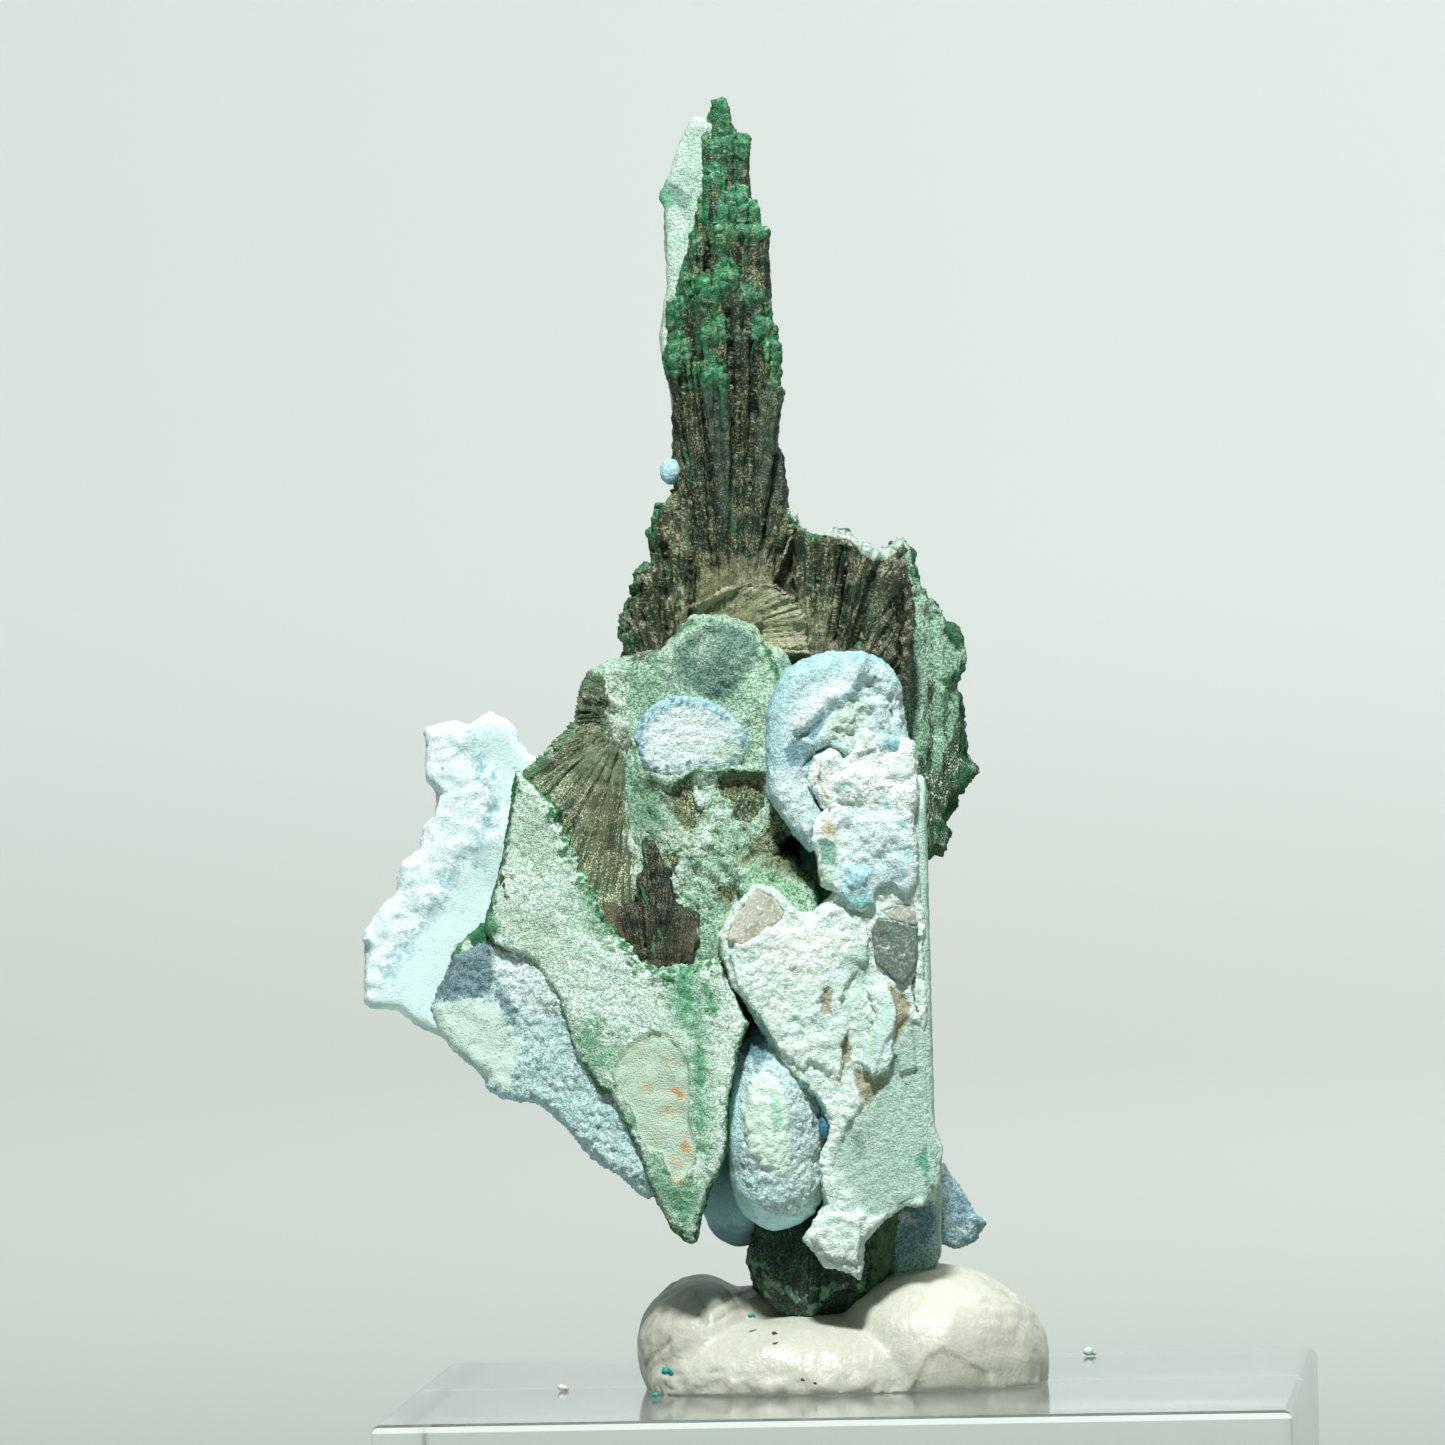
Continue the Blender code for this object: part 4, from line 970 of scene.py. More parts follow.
SIDE_PLATE_OUTLINE = trace("""
    -7.4 32.8, -6.4 33.9, -4 34.6, 2 34.2, 6.6 31.5, 7.4 24, 6 17, 7 12.5, 3 10.6, -1 10.4, -4 10.8, -7 13
""")
BEIGE_GRAIN = trace("""
    -5.7 28.3, -4.6 27.6, -4.1 26.8, -4.3 26.35, -5.1 25.9, -5.5 25.5, -6.5 24.95, -7.4 25.3, -7.1 26.1,
    -6.8 26.7, -6.4 27.3
""")
GREY_FACET = trace("""
    1.2 26.5, 0.75 25.8, 0.85 25, 1.05 24, 1.6 23.55, 2 23.1, 2.6 22.75, 3.15 23.4, 3.35 24.2, 3.45 26,
    2 26.4
""")
PALE_BIT = trace("1.4 26.85, 2.2 27.3, 3 27.35, 3.35 26.7, 3.45 26, 2 26.4")
BROWN_WINDOWS = traces("""
    -1.85 22.5, -1.45 22.6, -1.45 21.1, -2 21.2, -2.1 22.1 / -0.6 20.1, -0.9 19.25, -0.75 18.3, -0.4 18.4,
    -0.3 19.2 / -0.25 17.9, 0.7 17.9, 0.9 17.4, 1.7 17.9, 1.6 16.9, 1 16.3, 0.85 15.9, 0.75 15.4,
    0.5 16.1, 0.1 16.4, 0 17.1 / 1.6 23.1, 2 22.5, 2.7 22.1, 3.05 21.4, 2.85 20.5, 2.25 19.2, 2.1 20.1,
    2.3 21.1
""")

# The blue lobes at the bottom, the piece at the lower right and the stem
BOTTOM_LUMPS = traces("-4.6 -4.3 14.9, 2.9 3.2 6 / -4.5 -4.2 12.1, 2.75 3 3.3")
LOW_LUMPS = traces("-6.6 0.2 10.9, 2.3 2.8 3 / -6.6 1.8 14, 3.2 3 4.6")
RIGHT_FOOT_OUTLINE = trace("""
    1.9 12, 4.5 12.4, 4.9 12.4, 5.8 11, 6.5 9.7, 7.15 9.3, 6.6 8.3, 5.5 7.9, 4.7 8.3, 4.4 7.4, 2.2 7.2
""")
RIGHT_FOOT_INNER = trace("""
    1.2 12.4, 4.4 12.6, 4.45 7.2, 4.1 6.3, 3.2 6.1, 2.2 6.3, 1.3 7.2, 1 9.6
""")
STEM_OUTLINE = trace("""
    -6.1 12.4, -5.75 9.6, -5.9 8.4, -6.1 7, -5.75 5.6, -4.7 4.6, -3.3 3.5, -2.2 2.9, -0.6 3.3, 0.8 4.1,
    1.5 5.6, 2 7.4, 2.3 9.6, 2 12.4
""")
STEM_DUST = trace("-2.5 5, -1.2 5.5, 0.2 5.7")
STEM_RIDGE = trace("""
    -6.2 7.7, -5.5 6.9, -4.6 5.7, -3.4 4.9, -2.5 4.6, -1.2 5.3, 0.4 5.5, 2.3 6.8
""")

# The core, and the lumps, broken plate and sprays of the back
CORE_LUMPS = traces("""
    -9 1.6 20, 7.6 4.8 8.6 / -9.6 2.6 31.5, 7.6 4.4 8.6 / -1.2 0.4 22, 4.4 5.6 12 / -2.4 2.2 34.5,
    5.2 4.6 6.2 / -5.6 2.6 23.5, 5 5 8
""")
BACK_LUMPS = traces("""
    -12.6 5 21.5, 4.2 3.2 3.8 / -6 5 16.6, 3.8 3.2 4.2 / -10.6 6.4 25.6, 3 2.6 2.6 / -1.6 5.4 21.4,
    3.8 3.4 4.6 / -14.6 4.6 29, 3.6 2.8 4.6 / -1 5.4 30, 3.8 3.4 4.2 / -6.2 7.2 28.6, 2.6 2.2 2.4 /
    -3.4 7.4 25.4, 2.2 2 2.4 / -7 7 23.4, 2.2 2 2.2 / -9 6.6 19.4, 1.9 1.9 2.1 / -6.6 4.4 46, 3 1.8 4 /
    -0.2 4.6 43, 3 2.6 3.4 / -4 6.4 13, 1.9 1.9 2.2
""")
BACK_PLATE_OUTLINE = trace("""
    -4.6 27.6, 1 29.4, 2.9 26, 2.4 20, 3 15, 0.6 11.6, -2.6 12.6, -3 18, -5.2 22
""")
BACK_SPRAYS = [
    ("back_spray", "back_fibres", (-7.0, 3.4, 33.0), trace("""
        -14.4 34, -14 37.4, -12.6 40.2, -10.6 42.2, -8.2 43.6, -5.8 43.8, -3.4 42.4, -1.6 39.9, -0.8 36.6
    """), 60, (6.0, 8.2)),
    ("back_fan", "back_fan_fibres", (-11.4, 4.6, 27.0),
     trace("-16.9 24.4, -16.4 22, -15.2 19.8, -13.4 18.2, -11.2 17.6"), 36, (7.2, 8.8)),
]

# Loose crumbs of the mineral: finish, slot, place and radius
CRUMB_FINISHES = [
    ("teal", 0.4, (28, 150, 142)), ("dark", 0.6, (72, 62, 44)),
    ("clear", 0.2, (214, 216, 206)), ("green", 0.6, (174, 210, 190)),
]
CRUMBS = [
    ("teal_crumb_1", "teal", "tack", (-10.85, -6.6, 0.85), 0.3),
    ("teal_crumb_2", "teal", "acrylic", (-11.4, -7.4, -0.5), 0.2),
    ("teal_crumb_3", "teal", "tack", (-6.0, -5.2, 4.0), 0.16),
    ("brown_crumb", "dark", "tack", (-4.7, -6.6, 3.0), 0.13),
    ("clear_crumb", "clear", "acrylic", (-16.7, 0.9, -0.1), 0.24),
    ("green_crumb", "green", "acrylic", (13.1, 20.7, 1.95), 0.3),
    ("fibre_1", "dark", "tack", (-3.1, -8.2, 0.35), 0.10),
    ("fibre_2", "dark", "tack", (-2.4, -8.2, 0.15), 0.09),
]

# The pad of tack
TACK_LUMPS = traces("""
    4.4 0.4 1.5, 6.5 7.2 5.4 / -8.9 1.5 2.1, 3.55 6.1 4.25 / -5.6 2.4 0.9, 4.2 5.2 4.75 / -2.4 -1.2 0.3,
    9.4 6.2 3.75 / -2 1 0.6, 5 6 4.1 / 8.6 0.6 1.4, 2.3 5.4 3.6
""")
TACK_PATCHES = [
    # facet: painted a little darker as shade on the pressed face that faces down, with a darker line of
    # shade along its edge
    ("facet", """
        2.85 -1, 2.9 -0.5, 4 1.7, 4.9 2.15, 7.4 0.75, 7.6 -0.1, 7.5 -1.2
    """, None, 0.8, (184, 187, 169), 0.2),
    ("facet_rim", "2.9 -0.6, 4 1.7, 4.9 2.15, 7.4 0.75", 0.03, 0.5, (166, 168, 148), 0.3,
     0.2),
    # fold: darker lines painted along the folds and creases, as painted shade in them
    ("fold", """
        -8.4 3.5, -8.5 4.2, -9.1 5.2 / -8.2 4.4, -7.2 5, -6 5.4 / -12 1.2, -10.6 2.6 / 6.8 6.3, 7.8 5.6,
        8.8 4.9 / -11.2 0.2, -10.4 -0.2 / -7.9 3.7, -6.9 4.4, -6.2 4.6 / -11.9 3.2, -11 4.4 / -10.9 0.7,
        -10 0.6 / -8.6 0.7, -7.8 0.85 / -6.9 0.5, -6.2 0.6
    """, 0.03, 0.5, (162, 165, 148), 0.5, 0.2),
]
TACK_FACET = trace("2.85 -1, 2.9 -0.5, 4 1.7, 4.9 2.15, 7.4 0.75, 7.6 -0.1, 7.5 -1.2")


LOBE_PATCHES = [
    ("glints", """
        4.25 33.7, 4.35 33.3 / 3.9 34.6, 4 34.4 / 5.3 35.6, 5.4 35.4 / 4.9 38.6, 5 38.5
    """, 0.06, 0.4, (250, 252, 248), 0.6),
]
MIDDLE_PATCHES = [
    ("mint_left", """
        -14.2 40.6, -13.2 40.6, -12.8 38.8, -13.2 36.4, -14.1 36.6, -14.3 38.6
    """, None, 0.9, (226, 242, 228), 0.9, 0.2),
    ("right", """
        -5.5 42.7, -4.2 41.4, -3.8 38, -4 35.4, -5.1 35.1, -5.8 37.8, -6.6 39.6, -5.6 41
    """, None, 1.0, (200, 226, 202), 0.9, 0.3),
    ("leaf", """
        -12.9 40.8, -11.7 40.4, -11.6 38.9, -12.4 37.8, -13 38.4 / -6.4 30, -4.8 30.2, -3 28.6, -2.6 26.9,
        -4.6 26.8, -6.6 28.2
    """, None, 2.0, (168, 208, 176), 2.0, 0.3),
    ("muted", """
        -12.9 35, -11.4 35, -10.8 33.6, -10.9 31.4, -12.6 31.2, -13.1 33 / -9 25.6, -7.8 25.4, -7.7 23.1,
        -8.9 23.2
    """, None, 1.6, (128, 166, 134), 1.8, 0.4),
    ("soft", """
        -10 28.6, -7.8 28.6, -7.5 25.4, -8.6 24.7, -10 25.2 / -8.8 32, -7.2 32, -6.6 30.6, -6.8 29,
        -9.4 29
    """, None, 1.2, (184, 216, 190), 1.4, 0.4),
    ("pale", """
        -13 31.4, -12.3 31.4, -12.3 28.6, -13.2 28.6 / -11 31.8, -9.7 31.4, -9.4 30.4, -10.8 30.4 /
        -12.2 35.2, -11 34.4, -9.4 34.8, -10.2 35.1
    """, None, 0.6, (222, 236, 216), 0.9, 0.2),
    ("brown_dust", """
        -5.4 30.4, -3.6 29.8, -3.2 28.8, -5 29.4 / -11 33.2, -10 33.8, -9.6 32 / -7.6 34.6, -5.4 34.8,
        -5.2 34, -7.4 33.8 / -8 28.2, -7 28.2, -7.2 27.2
    """, None, 1.2, (134, 132, 100), 2.0, 0.4),
    ("olive", """
        -15.7 40.4, -14.3 40.5, -14.2 38.6, -14.1 36.4, -15.9 37.2 / -12.9 41.5, -11.2 41.6, -11 41.1,
        -12.8 40.9
    """, None, 1.0, (88, 108, 76), 1.8, 0.2),
    ("planks", """
        -6.5 29.6, -4.3 31.9 / -5.6 29.2, -3.9 30.9 / -4.8 29.9, -4.3 30.2
    """, 0.13, 0.5, (150, 150, 116), 0.9, 0.2),
    ("knob", [KNOB_OUTLINE], None, 1.0, (128, 160, 146), 0.9, 0.2),
    ("knob_light", """
        -9.4 41.6, -8.6 42.5, -8 42.2, -8.8 41.2 / -7 41, -6.2 41.6, -6.2 40.6
    """, None, 0.8, (186, 206, 192), 2.0, 0.4),
    ("green_lines", [
        GREEN_LINES,
        trace("-5.3 42, -4.6 40.6, -4.2 38.2, -4.1 35.6"),
        trace("-12.6 36.2, -12.4 34.9"),
        trace("-10.3 42.4, -9.5 43.3, -7.6 43.4"),
        trace("-11.9 40.9, -11.2 41.3"),
    ], 0.09, 0.8, (66, 138, 84), 1.2, 0.15),
    # hole: a dark tint painted in the recessed hole, as painted shade
    ("hole", [DARK_HOLE], None, 1.0, (40, 60, 44), 0.8, 0.2),
]
PLATE_PATCHES = [
    ("shade", """
        -18.6 33, -17.4 31.4, -16.6 29.8, -18.8 29.6, -19.4 31.6 / -19.8 26.6, -17.6 26.4, -17 24.4,
        -19.8 25.2
    """, None, 2.4, (190, 216, 196), 1.2, 0.4),
    ("soft_green", """
        -16.6 20.8, -14.6 20.6, -13.4 18.4, -14.2 17, -15.6 17.7 / -15.4 28.4, -13.6 26.4, -14.4 25.4,
        -16.4 27.6
    """, None, 2.4, (130, 180, 148), 1.2, 0.35),
    ("streaks", """
        -10.2 23.6, -9.8 20.6 / -9.6 23.4, -9.1 20.4, -8.8 17.2 / -8.9 16.4, -8.8 13.4 / -12.9 15.8,
        -12.6 15 / -11.6 12.6, -11 11.4
    """, 0.5, 1.6, (112, 178, 142), 1.0, 0.4),
    ("tufts", [PLATE_TOP_EDGE], 0.2, 1.8, (66, 140, 90), 2.6, 0.12),
    ("vivid", """
        -9.9 23.6, -9.7 22, -9.6 21.4 / -8.6 22.8, -8.1 21.2 / -9 18.6, -8.9 17.4
    """, 0.2, 1.0, (70, 160, 108), 1.2, 0.35),
    ("tips", """
        -11.9 11.8, -10.4 12.2, -9.4 11.8, -8.3 11.6, -8.9 9.4, -9.3 8, -10.4 8.8
    """, None, 2.6, (112, 164, 132), 1.2, 0.3),
    ("edge", [PLATE_EDGE, PLATE_LOW_EDGE], (0.02, PLATE_OUTLINE), 0.8, (46, 118, 74), 1.2, 0.12),
    ("tip_edge", "-22.9 24.2, -22.6 24.9, -21.2 26.1", 0.1, 0.8, (58, 136, 84), 0.9),
    ("bulge", "-20.9 27, -20.5 26.6, -20.3 25.4, -20.8 25.6", None, 0.8, (92, 156, 110), 1.4,
     0.2),
    # painted shade in the thin gap between the plate and the slab
    ("gap", "-7.9 25.1, -7.5 23.3, -6.9 22.4, -6.3 20.8", 0.12, 0.6, (44, 84, 58), 0.5),
    ("brown", "-20.2 28.8, -19.9 27.8", 0.16, 0.6, (74, 66, 46), 0.8),
    ("window_line", [CREAM_WINDOW + CREAM_WINDOW[:1]], 0.05, 0.5, (112, 150, 108), 1.4, 0.3),
    ("cream", [CREAM_WINDOW], None, 0.3, (177, 203, 182), 0.4),
    ("window_green", """
        -11.4 20.2, -10 19.4, -9.4 17.6, -9.9 17.4, -11.6 18.2, -11.8 19.2
    """, None, 1.2, (182, 212, 190), 0.8, 0.2),
    ("window_rim", """
        -13.6 18.4, -12.8 19.4, -11.6 20, -10.8 19.8 / -13.2 17.8, -12.4 18.8, -11.6 19.3 / -12.9 17,
        -12 18.2, -11.4 18.7 / -13.3 16.8, -12.2 17.6 / -12.4 14.6, -11.2 15.2 / -11.6 13.8, -10.6 14.2
    """, 0.04, 0.5, (188, 194, 164), 0.8, 0.3),
    ("stains", """
        -10.9 15.7, -10.5 15.6 / -10.6 16.8, -10.1 16.7, -9.7 16.2 / -9.75 13.9, -9.65 13.5 / -12 17,
        -11.8 17 / -10.5 12.8, -10 12.7 / -10.3 11.7, -10.1 11.5 / -11 18.6, -10.6 18.2
    """, 0.1, 0.8, (200, 178, 136), 1.6, 0.4),
    ("rust", """
        -10.8 15.7, -10.6 15.6 / -10.3 16.7, -9.8 16.3 / -9.7 13.8, -9.7 13.6
    """, 0.07, 0.6, (186, 126, 66), 1.6, 0.25),
    ("specks", """
        -11.45 18.35, -11.3 18.2 / -12.4 16.2, -12.3 16.1 / -10.7 14.2, -10.65 14.1
    """, 0.05, 0.4, (90, 150, 104), 0.6),
    ("glint", "-7.65 13.5, -7.55 13.3", 0.06, 0.4, (250, 252, 248), 0.3),
]
CRUST_PATCHES = [
    ("shadow", """
        -22.9 24.5, -20.8 25.4, -20.3 23.2, -21.2 22, -22.8 21.8, -24.2 21.9 / -20.6 22.7, -19.6 21.9,
        -19 21.6, -19.4 20.5, -20.2 21.4
    """, None, 0.8, (122, 150, 156), 1.8, 0.15),
    ("lilac", """
        -20.45 24.96, -18.8 24.96, -18.1 24.3, -17.2 22.6, -16.5 21.2, -18.2 20.8, -19.6 22, -20.6 23.3
    """, None, 1.0, (228, 242, 239), 1.4, 0.2),
    ("mint", [CRUST_MINT], None, 0.6, (194, 220, 206), 1.4, 0.08),
    ("skin", [CRUST_EDGE], 0.16, 0.7, (164, 200, 204), 0.6),
]
WING_PATCHES = [
    ("smooth", [WING_BAND, WING_CORNER], None, 1.6, (206, 233, 229), 0.9, 0.3),
    ("seam", """
        -20.6 32, -22 30.4, -23.4 28, -25 25.7, -26.6 23.6 / -21.9 37, -21 34.6, -20.6 32.6
    """, 0.1, 1.6, (150, 190, 200), 2.6, 0.3),
    ("low", "-27.8 21.4, -25 20.4, -23.4 19.8", 0.25, 1.2, (160, 196, 200), 0.4, 0.3),
    ("spots", """
        -27.9 25.1, -27.8 24.9 / -24.1 34.1, -23.9 33.9 / -20.55 28.9, -20.4 28.7 / -22.95 28.9,
        -22.8 28.7 / -21.75 31.35, -21.6 31.2 / -26.5 23.5, -26.3 23.4 / -25.1 27.5, -25 27.3 /
        -23.2 34.5, -23 34.4
    """, 0.12, 1.2, (164, 196, 200), 0.8, 0.4),
    ("dark_spot", "-21.6 30.1, -21.2 29.7", 0.2, 1.2, (124, 160, 166), 0.8, 0.4),
]
KNOB_PATCHES = [
    ("rim", [KNOB_EDGE], 0.7, 2.0, (172, 211, 214), 0.9, 0.3),
    ("rough_right", """
        0.4 40.9, 1.6 40.7, 2.7 39.2, 3 36.2, 1.8 35.2, 1.4 37, 0.6 38.4, 0.3 39.6
    """, None, 1.0, (210, 230, 228), 1.8, 0.1),
    ("face", """
        -3.9 37.2, -3.2 38.6, -0.3 40.6, 0.3 40.9, 0.2 39.6, -1.4 39, -2.6 37.3, -3.1 36.9
    """, None, 0.9, (236, 245, 243), 0.5, 0.3),
    ("lower", "-4.8 34.8, -2.4 34.9, -2.2 33, -2.6 30.6, -3.6 30.9, -4.6 32.6", None, 1.0,
     (220, 238, 236), 0.9, 0.3),
    # painted shade: darker blue in the knob's trough and at its lower left edge
    ("slate", """
        -3.9 36.5, -3 36.7, -2.3 36.2, -2.5 35.2, -3.6 35, -4.1 35.6 / -1.3 38.6, -2.7 37.1, -3.3 37,
        -3.2 36.7, -2.5 36.7, -1.3 38.2
    """, None, 0.5, (134, 166, 172), 1.4, 0.1),
    ("sky_ridge", "0.3 41, -0.2 39.4, -1.2 38.9", 0.14, 0.5, (188, 222, 226), 0.4, 0.2),
    ("mint_flakes", """
        -1.5 38, -0.9 38.4, 0 39.3, 0.2 38.8, 0.6 37.8, 0.4 36.4, -1.2 36.1, -1.8 36.9
    """, None, 0.9, (214, 234, 216), 2.4, 0.1),
    ("blue_low", """
        1.5 36.8, 2.9 36.8, 2.9 35.9, 1.6 36 / -4.4 32.3, -3.4 31.5, -2.7 31, -2.8 30.2, -4.2 31.2
    """, None, 0.8, (158, 201, 205), 0.8, 0.2),
    ("dots", """
        -1.05 38.6, -0.9 38.5 / 0.6 40.6, 0.65 40.5 / 1 40.2, 1.1 40.15 / 1.9 38.2, 1.95 38.1
    """, 0.08, 0.4, (84, 120, 124), 0.4),
    ("stain", """
        -0.7 37.4, -0.6 37.4 / -0.1 37.65, 0 37.65 / -1.25 37.2, -1.15 37.2
    """, 0.05, 0.4, (190, 150, 104), 0.6, 0.2),
    # painted shadow of the upper crust's edge on the knob
    ("crack", [KNOB_SHADOW_LINE], 0.05, 0.3, (78, 104, 106), 0.3),
]
UPPER_PATCHES = [
    ("blue_lower", "-1 32.6, 2.6 32.8, 3.4 31.6, 3.5 27, -1.4 27.6", None, 2.0,
     (224, 242, 239), 2.0, 0.2),
    ("blue_grain", """
        -1 29.6, 1 29.6, 1 27.6, -1 27.7 / 1.6 33.2, 2 33.1, 1.9 32.7 / 2.5 32.3, 2.9 32.2, 2.8 31.6,
        2.5 31.7 / 2 30.4, 3 30.2, 2.9 29.6
    """, None, 1.2, (178, 215, 219), 2.0, 0.2),
    ("block", "1.3 29.8, 2.8 29.8, 2.8 28.2, 1.4 28.2", None, 0.6, (188, 212, 214), 1.2, 0.3),
    ("teal_lobe", "-0.8 27.9, 0.8 27.9, 0.9 27.1, -0.8 27.2", None, 0.5, (150, 200, 200),
     0.8, 0.2),
    ("brown", "-2.1 31.9, -1.5 32.2, -1.2 31.7, -1.2 31.1, -1.8 31.2", None, 0.6,
     (206, 194, 164), 1.0, 0.2),
    ("facet", "-2.2 31, -1.7 31.1, -1.2 30.8, -1.1 30, -1.4 29.4, -2 29.6", None, 0.5,
     (140, 182, 162), 0.8, 0.15),
    ("green_bit", "-2.1 29.3, -1.2 29.4, -1.2 28, -2 28.2", None, 0.5, (196, 224, 204), 0.8,
     0.2),
    ("seam", "-2 35.5, -2.2 34.4, -1.9 33.7, -1.4 33, -1.7 32.3", 0.05, 0.4, (176, 160, 128),
     0.7, 0.15),
    ("pockets", "-0.9 34.1, -0.35 34.1 / 1.25 33, 1.75 33", 0.09, 0.4, (130, 180, 174), 0.6,
     0.2),
    ("orange", """
        0.9 34.7, 1 34.7 / 1.15 35.7, 1.25 35.7 / 0.55 35.3, 0.65 35.3 / 2.95 34.1, 3.05 34.1
    """, 0.04, 0.4, (214, 178, 130), 0.7, 0.2),
]
SLAB_WALL = trace("""
    -6.9 22.4, -6.5 21.7, -5.6 20.9, -4.4 18.4, -3.4 17.3, -2.4 16.5, -1.9 15.6
""")
SLAB_PATCHES = [
    ("bright", "-4.4 26.4, -0.4 25.6, -0.6 24.2, -2 23, -3.8 23.4, -5.6 24.6", None, 1.2,
     (246, 253, 244), 1.2, 0.3),
    ("smooth", [SMOOTH_SLAB], None, 1.6, (184, 210, 198), 0.7, 0.15),
    ("slope", "-0.9 24.6, 0.9 24.9, 0.8 22.8, -0.6 22.9", None, 0.9, (190, 216, 204), 0.9,
     0.3),
    ("swoosh", """
        -2.6 21.4, -1.9 23.6, -1.4 23.9, -0.4 23.5, -1.2 22, -1.4 20.4, -2.3 20
    """, None, 0.8, (222, 240, 234), 0.6, 0.3),
    ("bits", """
        -6.1 24.4, -5.8 24.4, -5.8 24, -6.1 24 / -6.2 22.8, -5.9 22.8, -6 22.3 / -0.8 15.3, -0.2 15.2,
        -0.4 14.7 / -3.4 20.6, -3.1 20.8, -3 20.3
    """, None, 0.5, (150, 198, 180), 0.8, 0.2),
    # painted shade on the slab's side wall, which faces down and to the left
    ("wall", [SLAB_WALL], 0.2, 0.5, (150, 194, 188), 0.6),
    ("petal", [PETAL_OUTLINE], None, 0.5, (200, 230, 219), 0.3),
    ("insert", "0.6 20.4, 1.2 20.2, 1.1 18.7, 0.7 18.8", None, 0.5, (182, 214, 194), 1.6,
     0.2),
    ("brown", BROWN_WINDOWS, None, 0.5, (172, 168, 144), 1.0, 0.12),
    ("tan", """
        -1.8 22.5, -1.5 22.5 / 1.7 22.9, 2.1 22.3, 2.6 21.9 / 0 17.75, 0.7 17.75
    """, 0.07, 0.4, (200, 188, 154), 0.9, 0.2),
    ("slit", "3.35 23.4, 3.15 22.4, 3.45 21.2, 3.8 20.6", 0.06, 0.4, (96, 104, 92), 0.5),
    ("orange", "-0.68 17.95, -0.58 17.95 / -1.1 17.4, -1 17.4", 0.07, 0.4, (208, 172, 124),
     0.7, 0.2),
    ("shade", "2.6 19.4, 1.7 17.4, 1 15.3, 0.1 13.4", 0.14, 1.2, (160, 186, 172), 0.9, 0.3),
    ("apex", "-0.3 14.5, 0.3 14.5, 0.2 13.2, -0.2 13.2", None, 0.6, (136, 166, 150), 0.8,
     0.3),
    ("crystals", "3.9 13.7, 3.3 12.7, 3.6 12.5, 3.9 11.4, 4.2 11.6, 4 12.6", None, 0.5,
     (106, 176, 148), 0.7, 0.15),
]
BOTTOM_PATCHES = [
    ("right", "-3.9 17, -2.8 17, -1.6 14.8, -1.8 10.6, -3.4 9.6, -3.8 12.4", None, 1.0,
     (210, 228, 224), 1.2, 0.3),
    # top: darker blue painted along the top of the lobe, as the shadow that the slab and plate cast on it
    ("top", "-6.6 21.2, -5.4 21, -5 18.6, -5.6 18.2, -6.4 18.6", None, 0.8, (104, 144, 152),
     1.2, 0.3),
    ("skin", """
        -7.4 17.6, -7.5 14, -7.6 12.3, -6.6 10.2, -5.6 9.2, -4.4 8.8, -2.6 8.8
    """, 0.75, 1.0, (200, 246, 246), 0.5),
    ("mint", """
        -6 17.2, -6.4 15.7, -6.4 14.4, -6 13.3, -5.3 12.4, -4.2 11.8, -3.6 12.4, -3.7 13.9, -3.7 14.9,
        -3.9 16, -4.4 17.2, -5.3 17.9
    """, None, 0.6, (204, 230, 212), 1.2),
    ("shard", "-4.9 16.6, -4.4 16.2, -4.2 14.9, -4.6 14.3, -4.9 15.2", None, 0.5,
     (168, 210, 186), 1.2),
]
